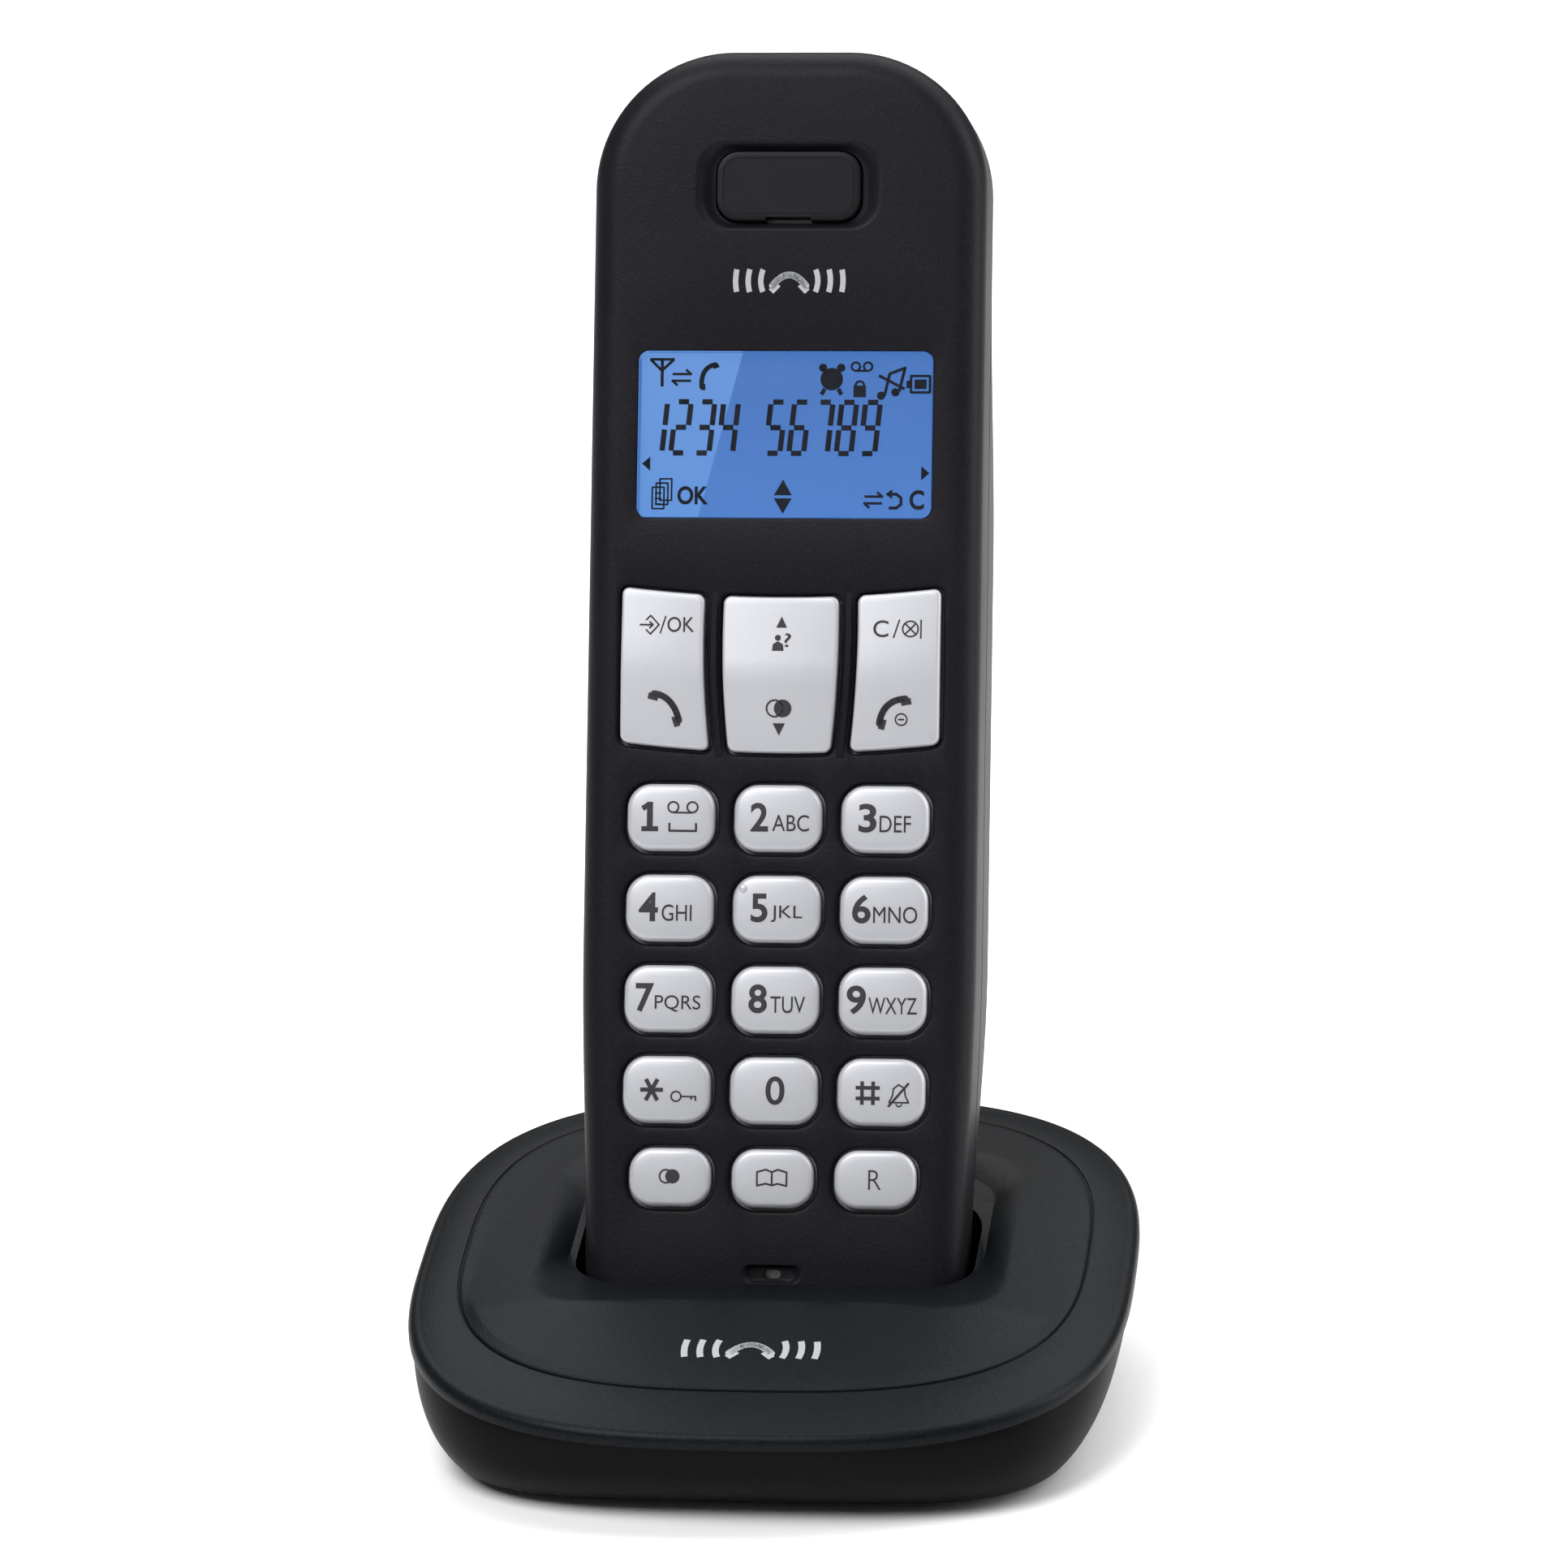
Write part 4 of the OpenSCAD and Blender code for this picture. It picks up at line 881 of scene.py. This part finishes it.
rocker_signs = {
    -1: stroke([(-3.1, 5.8), (-1.5, 5.8)], 0.16)
    + stroke([(-1.95, 6.2), (-1.5, 5.8), (-1.95, 5.4)], 0.16)
    + stroke([(-2.35, 6.35), (-1.8, 6.9), (-0.8, 5.8), (-1.8, 4.7), (-2.35, 5.25)], 0.15)
    + stroke([(-0.65, 4.75), (0.0, 6.85)], 0.14) + flat_text("OK", 0.2, 3.4, 4.95, 6.75, 0.004)
    + receiver_sign((-1.25, -2.35), (1.75, -5.5), (1.0, -2.6), 0.6),
    0: wedge(0.15, 5.55, 0.65, 1.35) + disc(-0.27, 4.35, 0.36)
    + [[(-0.95, 2.8), (0.45, 2.8), (0.35, 3.6), (-0.27, 3.95), (-0.85, 3.6)]]
    + flat_text("?", 0.5, 1.3, 3.25, 4.9, 0.004) + two_discs(-0.05, -4.0, 1.05, 0.16)
    + [[(-0.75, -5.75), (0.0, -7.2), (0.7, -5.75)]],
    1: flat_text("C", -2.6, -0.8, 4.5, 6.5, 0.004) + stroke([(-0.2, 4.4), (0.5, 6.6)], 0.14)
    + hoop(1.8, 5.5, 0.92, 0.15) + stroke([(1.15, 4.85), (2.45, 6.15)], 0.15)
    + stroke([(1.15, 6.15), (2.45, 4.85)], 0.15) + stroke([(3.05, 4.35), (3.05, 6.6)], 0.14)
    + receiver_sign((-1.75, -5.7), (1.35, -2.75), (-1.35, -2.9), 0.6)
    + hoop(0.85, -5.2, 0.68, 0.14) + stroke([(0.5, -5.2), (1.2, -5.2)], 0.15),
}
for column, node in zip((-1, 0, 1), rocker_nodes):
    printed(node + "_sign", rocker_signs[column], column * nav_column, nav_z,
            lambda x, z: rocker_top(column, x, z), node, ink_black, lift=0.035)

# ---- Display --------------------------------------------------------------------------
# A lit blue liquid-crystal panel behind a flat clear window. The icons and the slanted
# segment characters are dark shapes just in front of the glowing film. A paler slanted patch
# at the left, glowing a lighter blue, is a painted reflection of light in the window.

lit_blue = moulded("lcd_lit_blue", (0.010, 0.02, 0.05), grain=0.3, depth=0.0, rough=0.35,
                   mottle=0.1, shine=0.3)
# A paler, brighter blue glow: painted reflection in the window, used for the slanted patch below.
painted_reflection = moulded("lcd_painted_reflection_glow", (0.012, 0.022, 0.05), grain=0.3, depth=0.0, rough=0.35,
                   mottle=0.1, shine=0.3)


def glow(material, low_colour, high_colour, low, high):
    """Lights a finish with a colour that runs from one height to another"""
    nodes, links = material.node_tree.nodes, material.node_tree.links
    where = nodes.new("ShaderNodeTexCoord")
    apart = nodes.new("ShaderNodeSeparateXYZ")
    links.new(where.outputs["Object"], apart.inputs[0])
    spread = nodes.new("ShaderNodeMapRange")
    spread.inputs["From Min"].default_value, spread.inputs["From Max"].default_value = low, high
    links.new(apart.outputs["Z"], spread.inputs["Value"])
    mix = nodes.new("ShaderNodeMix")
    mix.data_type = "RGBA"
    mix.inputs["A"].default_value = (*low_colour, 1)
    mix.inputs["B"].default_value = (*high_colour, 1)
    links.new(spread.outputs["Result"], mix.inputs["Factor"])
    shader = nodes["Principled BSDF"]
    links.new(mix.outputs["Result"], shader.inputs["Emission Color"])
    shader.inputs["Emission Strength"].default_value = 1.0


def node_finish(node, material):
    """Gives a CAD node's mesh a finish in place of its plain colour"""
    shown = bpy.data.objects[node]
    for slot in shown.material_slots:
        slot.material = material
    if not shown.material_slots:
        shown.data.materials.append(material)


glow(lit_blue, (0.072, 0.222, 0.62), (0.056, 0.175, 0.50), 0.092, 0.116)
glow(painted_reflection, (0.10, 0.28, 0.69), (0.13, 0.30, 0.68), 0.092, 0.116)
node_finish("lcd_glass", lit_blue)
lens_clear = moulded("lens_clear", (0.95, 0.97, 1.0), grain=1.5, depth=0.0, rough=0.02,
                     mottle=0.0, spread=0.01, shine=0.35)
lens_clear.node_tree.nodes["Principled BSDF"].inputs["Transmission Weight"].default_value = 1.0
lens_clear.node_tree.nodes["Principled BSDF"].inputs["IOR"].default_value = 1.45
node_finish("display_lens", lens_clear)

lcd_dark = moulded("lcd_dark", (0.008, 0.010, 0.018), grain=0.2, depth=0.0, rough=0.6, shine=0.1)


lcd_y = 2.44                     # just in front of the glowing film


def on_lcd(x, z):
    return lcd_y


# The slanted paler patch at the left of the display is a painted reflection in the window, laid on
# as glowing film.
printed("lcd_painted_reflection_patch", [[(-17.4, -9.85), (-10.4, -9.85), (-5.35, 9.85), (-17.4, 9.85)]],
        0.05, window_z, on_lcd, "handset", painted_reflection, 0.015)


def segments(digit, x, z, w, h, slant, width):
    """A seven-segment sign from its lower left corner"""
    lit = {"0": "abcdef", "1": "bc", "2": "abged", "3": "abgcd", "4": "fgbc", "5": "afgcd",
           "6": "afgecd", "7": "abc", "8": "abcdefg", "9": "abfgcd"}[digit]
    gap = 0.26
    ends = {"a": ((gap, h), (w - gap, h)), "g": ((gap, h / 2), (w - gap, h / 2)),
            "d": ((gap, 0), (w - gap, 0)), "f": ((0, h / 2 + gap), (0, h - gap)),
            "b": ((w, h / 2 + gap), (w, h - gap)), "e": ((0, gap), (0, h / 2 - gap)),
            "c": ((w, gap), (w, h / 2 - gap))}
    shapes = []
    for name in lit:
        (ax, az), (bx, bz) = ends[name]
        shapes += stroke([(x + ax + slant * az, z + az), (x + bx + slant * bz, z + bz)], width)
    return shapes


lcd_signs = []
for i, digit in enumerate("1234 56789"):
    if digit != " ":
        lcd_signs += segments(digit, -16.6 + 2.82 * i, -2.1, 1.75, 6.1, 0.1, 0.5)
lcd_signs += stroke([(-16.3, 9.0), (-15.0, 7.7), (-13.6, 9.0)], 0.26, ends=True)
lcd_signs += stroke([(-16.4, 9.05), (-13.5, 9.05)], 0.26)
lcd_signs += stroke([(-14.95, 9.0), (-14.95, 5.8)], 0.3)


def swap_arrows(x, z, w):
    return (stroke([(x, z + 0.4), (x + w, z + 0.4), (x + w - 0.6, z + 0.95)], 0.24)
            + stroke([(x + w, z - 0.4), (x, z - 0.4), (x + 0.6, z - 0.95)], 0.24))


lcd_signs += swap_arrows(-13.7, 6.9, 2.2)
lcd_signs += receiver_sign((-10.2, 5.75), (-8.6, 8.45), (-10.4, 8.1), 0.45, 0.6)
lcd_signs += disc(5.3, 6.75, 1.35) + disc(4.25, 8.1, 0.5) + disc(6.4, 8.1, 0.5)
lcd_signs += stroke([(4.5, 5.6), (4.1, 4.9)], 0.4) + stroke([(6.1, 5.6), (6.5, 4.9)], 0.4)
lcd_signs += hoop(8.15, 8.25, 0.5, 0.2) + hoop(9.6, 8.25, 0.5, 0.2)
lcd_signs += stroke([(8.15, 7.75), (9.6, 7.75)], 0.2)
lcd_signs += [[(7.9, 4.6), (9.4, 4.6), (9.4, 6.0), (7.9, 6.0)]]
lcd_signs += hoop(8.65, 6.0, 0.5, 0.22, 0, 180)
lcd_signs += disc(11.2, 4.8, 0.5) + disc(12.9, 5.2, 0.5)
lcd_signs += stroke([(11.6, 4.8), (12.2, 7.4), (14.0, 8.1), (13.35, 5.3)], 0.28)
lcd_signs += stroke([(10.9, 7.2), (14.0, 5.6)], 0.28)
lcd_signs += stroke([(14.75, 5.2), (17.0, 5.2), (17.0, 7.15), (14.75, 7.15)], 0.24, closed=True)
lcd_signs += [[(15.15, 5.6), (16.6, 5.6), (16.6, 6.75), (15.15, 6.75)],
              [(14.2, 5.7), (14.65, 5.7), (14.65, 6.6), (14.2, 6.6)],
              [(-17.2, -3.4), (-16.2, -2.55), (-16.2, -4.25)],
              [(17.1, -4.4), (16.1, -3.55), (16.1, -5.25)],
              [(-1.4, -7.1), (0.75, -7.1), (-0.3, -5.2)],
              [(-1.4, -7.45), (0.75, -7.45), (-0.3, -9.3)]]
for i in range(3):
    lcd_signs += stroke([(-15.9 + 0.45 * i, -8.75 + 0.5 * i), (-14.5 + 0.45 * i, -8.75 + 0.5 * i),
                         (-14.5 + 0.45 * i, -6.2 + 0.5 * i), (-15.9 + 0.45 * i, -6.2 + 0.5 * i)],
                        0.16, closed=True)
for i in range(3):
    lcd_signs += stroke([(-15.6, -8.2 + 0.65 * i), (-14.8, -8.2 + 0.65 * i)], 0.16)
lcd_signs += flat_text("OK", -12.9, -9.2, -8.25, -6.05, 0.03) + swap_arrows(9.4, -7.6, 2.1)
lcd_signs += flat_text("C", 14.75, 16.5, -8.75, -6.4, 0.03)
lcd_signs += stroke([(12.2, -6.9), (13.2, -6.9), (13.75, -7.35), (13.75, -8.1), (13.2, -8.55),
                     (12.3, -8.55)], 0.28) + [[(11.9, -6.9), (12.7, -6.3), (12.7, -7.5)]]
printed("lcd_signs", lcd_signs, 0.05, window_z, on_lcd, "handset", lcd_dark, 0.045)

# ---- Earpiece cap and handset mark ----------------------------------------------------
# The cap is a smooth plate of the shell's plastic set in the earpiece recess, with a thin
# line round its top and a slot for the sound below it. The mark is a plain printed pictogram.

cap = bmesh.new()
rings = [at_depth(rounded(ear_w - 2 * inset, ear_h - 2 * inset, 2.6 - inset, 0, ear_z), y)
         for inset, y in ((0, 3.0), (0, 0.52), (0.05, 0.33), (0.16, 0.2), (0.32, 0.15),
                          (0.75, 0.15), (0.80, 0.20), (0.88, 0.20), (0.93, 0.15), (1.6, 0.15))]
add_rings(cap, rings, first_cap=True, last_cap=True)
cap_black = moulded("earpiece_cap_black", (0.0072, 0.0066, 0.0084), grain=0.22, depth=0.012,
                    rough=0.45, shine=0.10)
ear_cap = finish_mesh("earpiece_cover", cap, cap_black, dock)
slot_half, slot_z = 2.7, ear_z - ear_h / 2
carve(ear_cap, in_handset_block(-slot_half, slot_half, -1, 3.4, slot_z - 0.2, slot_z + 0.45))
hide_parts("earpiece_cap")
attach(ear_cap, "handset")

ink_grey = moulded("ink_grey", (0.31, 0.32, 0.335), grain=0.2, depth=0.003, rough=0.5, shine=0.3)


def pictogram(scale):
    """A receiver lying between two sets of arcs"""
    shapes = receiver_sign((-2.0, -0.6), (2.0, -0.6), (0, 2.0), 0.62, 1.0)
    for side in (0, 180):
        for r in (3.4, 4.9, 6.4):
            shapes += hoop(0, 0, r, 0.5, side - round(78 / r), side + round(78 / r))
    return [[(x * scale, z * scale) for x, z in shape] for shape in shapes]


printed("handset_mark", pictogram(1.0), 0.3, 124.5, lambda x, z: 0.0, "handset", ink_grey)

# ---- Cradle cover ---------------------------------------------------------------------
# The cradle's upper moulding in fine-grained black ABS: a rolled rim, a smooth band, a thin
# step, then the raised panel with its front facet, crest and the flare round the pocket.

cradle_black = moulded("cradle_black", (0.0030, 0.0038, 0.0048), grain=0.26, depth=0.035,
                       rough=0.40, mottle=0.5, speck=1.2, shine=0.075)
seam_h, seam_tilt = 16.1, math.radians(7.6)
seam_place = Matrix.Translation((0, 0, seam_h * MM)) @ Matrix.Rotation(seam_tilt, 4, "X")
rim_half, rim_reach, rim_form = 42.5, 44.39, 2.9
panel_half, panel_reach, panel_y = 37.0, 36.5, 1.5
crest_y, crest_rise, mouth_h = -17.8, 2.35, 2.0


def loop_at(outline, y):
    """A rounded rectangle moved to the middle y"""
    return [(u, v + y) for u, v in outline]


flare = loop_at(rounded(56.4, 43.6, 8.0, corner=18, side=16), 4.2)
mouth = loop_at(rounded(49.2, 29.9, 8.0, corner=18, side=16), 7.45)
flare_back = loop_at(rounded(60.0, 47.2, 9.8, corner=18, side=16), 4.2)
mouth_back = loop_at(rounded(52.8, 33.5, 9.8, corner=18, side=16), 7.45)
headings = [math.atan2((v - 4.2) / 21.8, u / 28.2) for u, v in flare]


def squared(half, reach, form, middle, inset=0.0):
    """A squared ellipse with a point along each heading"""
    loop = []
    for heading in headings:
        c, s = math.cos(heading), math.sin(heading)
        r = (abs(c) ** form + abs(s) ** form) ** (-1 / form)
        loop.append(((half - inset) * r * c, middle + (reach - inset) * r * s))
    return loop


def panel_rise(u, v):
    """Height of the raised panel over its border: a facet in front and a long fall behind"""
    across = min(abs(u) / panel_half, 0.999)
    reach = panel_reach * (1 - across ** rim_form) ** (1 / rim_form)
    ahead = (v - (panel_y - reach)) / max(crest_y - (panel_y - reach), 1.0)
    behind = (panel_y + reach - v) / max(panel_y + reach - crest_y, 1.0)
    ahead, behind = max(ahead, 0.0), max(behind, 0.0)
    blend = 0.02 + 0.22 * across ** 2
    near = max(blend - abs(ahead - behind), 0.0) / blend
    fade = max(0.0, 1 - (abs(u) / 35.5) ** 4)
    return crest_rise * fade * max(0.0, min(ahead, behind, 1.0) - near * near * blend / 4)


def lifted(loop, height):
    return [(u, v, height) for u, v in loop]


def between(a, b, s):
    return [(p[0] + (q[0] - p[0]) * s, p[1] + (q[1] - p[1]) * s) for p, q in zip(a, b)]


rim = squared(rim_half, rim_reach, rim_form, 0)
outer = [lifted(rim, h) for h in (0.0, 0.25, 0.55)]
outer += [lifted(squared(rim_half, rim_reach, rim_form, 0, 1.25 * (1 - math.cos(a))),
                 0.55 + 1.25 * math.sin(a)) for a in quarter(7)[1:]]
rolled = squared(rim_half, rim_reach, rim_form, 0, 1.25)
border = squared(panel_half, panel_reach, rim_form, panel_y, -0.12)
outer += [lifted(between(rolled, border, s), 1.8 + 0.78 * math.sin(math.radians(90 * s)) ** 0.9)
          for s in (0.06, 0.14, 0.26, 0.4, 0.55, 0.7, 0.85, 1)]
for inset, h in ((-0.02, 2.44), (0.1, 2.42), (0.2, 2.70), (0.34, 2.80), (0.6, 2.85)):
    outer.append(lifted(squared(panel_half, panel_reach, rim_form, panel_y, inset), h))
edge_of_panel = squared(panel_half, panel_reach, rim_form, panel_y, 0.6)
for s in [i / 16 for i in range(1, 17)]:
    outer.append([(u, v, 2.85 + panel_rise(u, v)) for u, v in between(edge_of_panel, flare, s)])
for s in (0.04, 0.1, 0.2, 0.35, 0.5, 0.65, 0.8, 0.92, 1):
    ring = []
    for (u, v), (u0, v0) in zip(between(flare, mouth, s), flare):
        side = 1 - ease((-9 - v0) / 8)
        top = 2.85 + panel_rise(u0, v0)
        ring.append((u, v, top + (mouth_h - top) * s ** (1 + 0.9 * side)))
    outer.append(ring)
inner_edge_loop = squared(panel_half, panel_reach, rim_form, panel_y, 1.8)
inner = [lifted(squared(rim_half, rim_reach, rim_form, 0, 1.8), h) for h in (0.0, 0.2)]
inner.append(lifted(inner_edge_loop, 0.9))
for s in (0.15, 0.3, 0.45, 0.6, 0.8, 1):
    inner.append([(u, v, 1.05 + panel_rise(u, v))
                  for u, v in between(inner_edge_loop, flare_back, s)])
inner.append(lifted(mouth_back, mouth_h - 1.8))
cover_mesh = bmesh.new()
add_rings(cover_mesh, list(reversed(inner)) + outer, first_cap=True, last_cap=True)
cover = finish_mesh("cradle_cover", cover_mesh, cradle_black, seam_place)


def pocket_body(grow, material):
    """The closed form of the lower handset, grown on every side"""
    bm = bmesh.new()
    face_edge, rear_edge = front_edge + grow, back_edge + grow
    rings = [[(x, -grow + face_edge * (1 - math.cos(a)), z)
              for x, z in body_outline(-grow + face_edge * (1 - math.sin(a)))] for a in quarter(6)]
    rings += [[(x, back_at(max(z, 0)) + grow - rear_edge * (1 - math.sin(a)), z)
               for x, z in body_outline(-grow + rear_edge * (1 - math.cos(a)))]
              for a in quarter(6)]
    made = add_rings(bm, rings)
    cross_strips(bm, made[0])
    cross_strips(bm, made[-1])
    return finish_mesh("pocket_form", bm, material, dock)


dock_gap, cup_wall, contact_x = 1.2, 1.6, 9
cup = pocket_body(dock_gap + cup_wall, cradle_black)
carve(cup, block(-40, 40, -50, 50, -20, 1.0, cradle_black, seam_place), "INTERSECT")
carve(cover, cup, "UNION")
carve(cover, pocket_body(dock_gap, cradle_black))
for side in (-1, 1):
    rib = block(side * 3 - 0.6, side * 3 + 0.6, 4.6, 11.6, -2.2, -0.05, cradle_black, dock)
    carve(cover, rib, "UNION")
    x = side * contact_x
    carve(cover, block(x - 1.55, x + 1.55, 5.75, 7.45, -7, -0.4, cradle_black, dock))
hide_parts("base_top_cover")
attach(cover, "base")


def facet_mark(shapes, y0, name):
    """Ink laid on the front facet of the panel, in the cover's own slope"""
    bm = bmesh.new()
    for shape in shapes:
        bm.faces.new([bm.verts.new((a, y0 + b, 2.85 + panel_rise(a, y0 + b) + 0.035))
                      for a, b in shape])
    bm.normal_update()
    for face in bm.faces:
        if face.normal.z < 0:
            face.normal_flip()
    piece = finish_mesh(name, bm, ink_grey, seam_place, outward=False)
    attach(piece, "base")


facet_mark([[(x * 1.2, z * 1.25) for x, z in shape] for shape in pictogram(1.0)], -27.2,
           "cradle_mark")

# ---- Cradle lower shell ---------------------------------------------------------------
# A bowl of the same ABS, its colour made darker than the cover's as painted shade on its lower
# sides, which swell a little and are drawn in under the cover's rim. A bay at the back holds the
# sockets, and recesses below hold the rubber feet and the screws.

# The cover's black ABS, coloured darker here: painted shade for the lower sides under the rim.
bowl_black_with_painted_shade = moulded("bowl_black_with_painted_shade", (0.0021, 0.0021, 0.0028), grain=0.30, depth=0.02,
                     rough=0.45, mottle=0.25, speck=0.4, shine=0.05)
turn_mid = Matrix.Rotation(seam_tilt * 0.6, 4, "X")
turn_top = Matrix.Rotation(seam_tilt, 4, "X")


def bowl_ring(s, inset):
    """A ring of the bowl between the table (0) and the seam (1)"""
    low = [Vector((u, v, 0.8)) for u, v in squared(35.7, 34.2, 4.7, -1.8, inset)]
    mid = [turn_mid @ Vector((u, v, 0)) + Vector((0, -0.9, 7.226))
           for u, v in squared(39.7, 39.7, 3.8, 0, inset)]
    top = [turn_top @ Vector((u, v, -0.02)) + Vector((0, 0, seam_h))
           for u, v in squared(rim_half - 0.5, rim_reach - 0.5, rim_form, 0, inset)]
    a = (s - 0.42) * (s - 1) / 0.42
    b = s * (s - 1) / (0.42 * (0.42 - 1))
    c = s * (s - 0.42) / 0.58
    return [tuple(p * a + q * b + r * c) for p, q, r in zip(low, mid, top)]


foot_round = 1.5
outside = [bowl_ring(0.10 * (1 - math.cos(a)), foot_round * (1 - math.sin(a)))
           for a in quarter(6)]
outside += [bowl_ring(0.10 + 0.9 * i / 14, 0) for i in range(1, 15)]
inside = [bowl_ring(0.12 + 0.88 * i / 7, 1.8) for i in range(8)]
bowl_mesh = bmesh.new()
add_rings(bowl_mesh, outside + list(reversed(inside)), first_cap=True, last_cap=True)
bowl = finish_mesh("cradle_bowl", bowl_mesh, bowl_black_with_painted_shade)
bay_solid_mesh = bmesh.new()
add_rings(bay_solid_mesh, outside, first_cap=True, last_cap=True)
bay_solid = finish_mesh("bay_solid", bay_solid_mesh, bowl_black_with_painted_shade)
bay_half, bay_y, bay_low, bay_high, bay_wall = 23.4, 33, 3.3, 17.8, 1.4
outer_half = bay_half + bay_wall
carve(bay_solid, block(-outer_half, outer_half, bay_y - bay_wall, 60, 0.9,
                       bay_high + bay_wall, bowl_black_with_painted_shade), "INTERSECT")
carve(bowl, bay_solid, "UNION")
carve(bowl, block(-bay_half, bay_half, bay_y, 60, bay_low, bay_high, bowl_black_with_painted_shade))


def upright(r, z0, z1, x, y, material, steps=24):
    """A plain round pin standing on the table's plane"""
    bm = bmesh.new()
    add_rings(bm, [[(x + r * math.cos(2 * math.pi * i / steps),
                     y + r * math.sin(2 * math.pi * i / steps), z) for i in range(steps)]
                   for z in (z0, z1)], first_cap=True, last_cap=True)
    return finish_mesh("pin", bm, material)


socket_x, socket_z = 14, 5.6
for x, half, top in ((-socket_x, 6.2, 17.0), (socket_x, 4.7, 16.4)):
    carve(bowl, block(x - half, x + half, 28, 38, socket_z, top, bowl_black_with_painted_shade))
for x, y in ((24, -25), (24, 21)):
    for side in (-1, 1):
        carve(bowl, upright(4.7, -1, 1.5, side * x, y, bowl_black_with_painted_shade))
for y in (-12, 8):
    for side in (-1, 1):
        carve(bowl, upright(2.8, -1, 2.6, side * 30.5, y, bowl_black_with_painted_shade))
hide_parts("base_bottom_shell")
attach(bowl, "base")

# ---- Sockets, page button and feet ----------------------------------------------------
# Behind the cradle sit a line socket, a round power socket and the grey page button. Four
# rubber pads and four cross-head screws are underneath, in recesses of the lower shell.

page_grey = moulded("page_grey", (0.20, 0.205, 0.215), grain=0.25, depth=0.01, rough=0.45,
                    mottle=0.12, shine=0.4)
socket_black = moulded("socket_black", (0.010, 0.010, 0.011), grain=0.4, depth=0.008,
                       rough=0.35, mottle=0.2, shine=0.4)
foot_rubber = moulded("foot_rubber", (0.035, 0.035, 0.037), grain=0.5, depth=0.03, rough=0.85,
                      mottle=0.3, speck=0.3, shine=0.2)
steel = moulded("steel", (0.50, 0.50, 0.51), grain=0.22, depth=0.004, rough=0.34, mottle=0.18,
                spread=0.2, metallic=1.0)
contact_gold = moulded("contact_gold", (0.75, 0.55, 0.24), grain=0.2, depth=0.003, rough=0.28,
                       mottle=0.15, spread=0.2, metallic=1.0)
for node, finish in (("line_socket", socket_black), ("power_socket", socket_black),
                     ("page_button", page_grey), ("rubber_feet", foot_rubber),
                     ("base_screws", steel), ("handset_screws", steel),
                     ("power_socket_pin", steel), ("page_switch", steel),
                     ("line_socket_contacts", contact_gold)):
    node_finish(node, finish)

# ---- Charging contacts and battery ----------------------------------------------------
# Two sprung gold-plated strips in the pocket meet the pads in the handset's foot. Two
# sleeved cells lie side by side under the door, between nickel-plated end contacts.

sleeve_green = moulded("cell_sleeve_green", (0.05, 0.19, 0.12), grain=0.8, depth=0.006,
                       rough=0.3, mottle=0.2, spread=0.15, shine=0.5)
for node, finish in (("charge_contact_left", contact_gold), ("charge_contact_right", contact_gold),
                     ("charge_pad_left", contact_gold), ("charge_pad_right", contact_gold),
                     ("battery_contacts", steel), ("battery_cell_left", sleeve_green),
                     ("battery_cell_right", sleeve_green)):
    node_finish(node, finish)

# ---- Electronics ----------------------------------------------------------------------
# The hidden parts: two green boards with copper tracks, tinned screening cans, printed
# antennas, capsules and speaker, the silicone key mat with its steel domes, and the backlight.

board_green = moulded("board_green", (0.012, 0.10, 0.045), grain=0.5, depth=0.004, rough=0.32,
                      mottle=0.15, shine=0.5)
nodes, links = board_green.node_tree.nodes, board_green.node_tree.links
tracks = nodes.new("ShaderNodeTexBrick")
tracks.inputs["Scale"].default_value = 400
tracks.inputs["Mortar Size"].default_value = 0.06
tracks.inputs["Color1"].default_value = (0.012, 0.10, 0.045, 1)
tracks.inputs["Color2"].default_value = (0.016, 0.13, 0.06, 1)
tracks.inputs["Mortar"].default_value = (0.10, 0.20, 0.07, 1)
turned = nodes.new("ShaderNodeMapping")
turned.inputs["Rotation"].default_value = (math.radians(90), 0, 0)
links.new(nodes.new("ShaderNodeTexCoord").outputs["Object"], turned.inputs["Vector"])
links.new(turned.outputs[0], tracks.inputs["Vector"])
grainy = next(node for node in nodes if node.type == "GROUP")
links.new(tracks.outputs["Color"], grainy.inputs["Colour"])
tin = moulded("screen_tin", (0.62, 0.63, 0.63), grain=0.6, depth=0.004, rough=0.30, mottle=0.2,
              spread=0.2, metallic=1.0)
silicone = moulded("silicone_grey", (0.30, 0.30, 0.31), grain=0.6, depth=0.02, rough=0.7,
                   mottle=0.15, shine=0.3)
part_dark = moulded("part_dark", (0.03, 0.03, 0.033), grain=0.4, depth=0.01, rough=0.5,
                    mottle=0.2, shine=0.4)
panel_white = moulded("panel_white", (0.80, 0.80, 0.79), grain=0.6, depth=0.004, rough=0.4,
                      mottle=0.06, shine=0.4)
for node, finish in (("base_circuit_board", board_green), ("handset_circuit_board", board_green),
                     ("base_rf_shield", tin), ("handset_rf_shield", tin),
                     ("base_antennas", contact_gold), ("handset_antenna", contact_gold),
                     ("base_capacitors", part_dark), ("ringer_speaker", part_dark),
                     ("receiver_capsule", steel), ("microphone_capsule", steel),
                     ("key_domes", steel), ("keypad_mat", silicone),
                     ("backlight_panel", panel_white)):
    node_finish(node, finish)
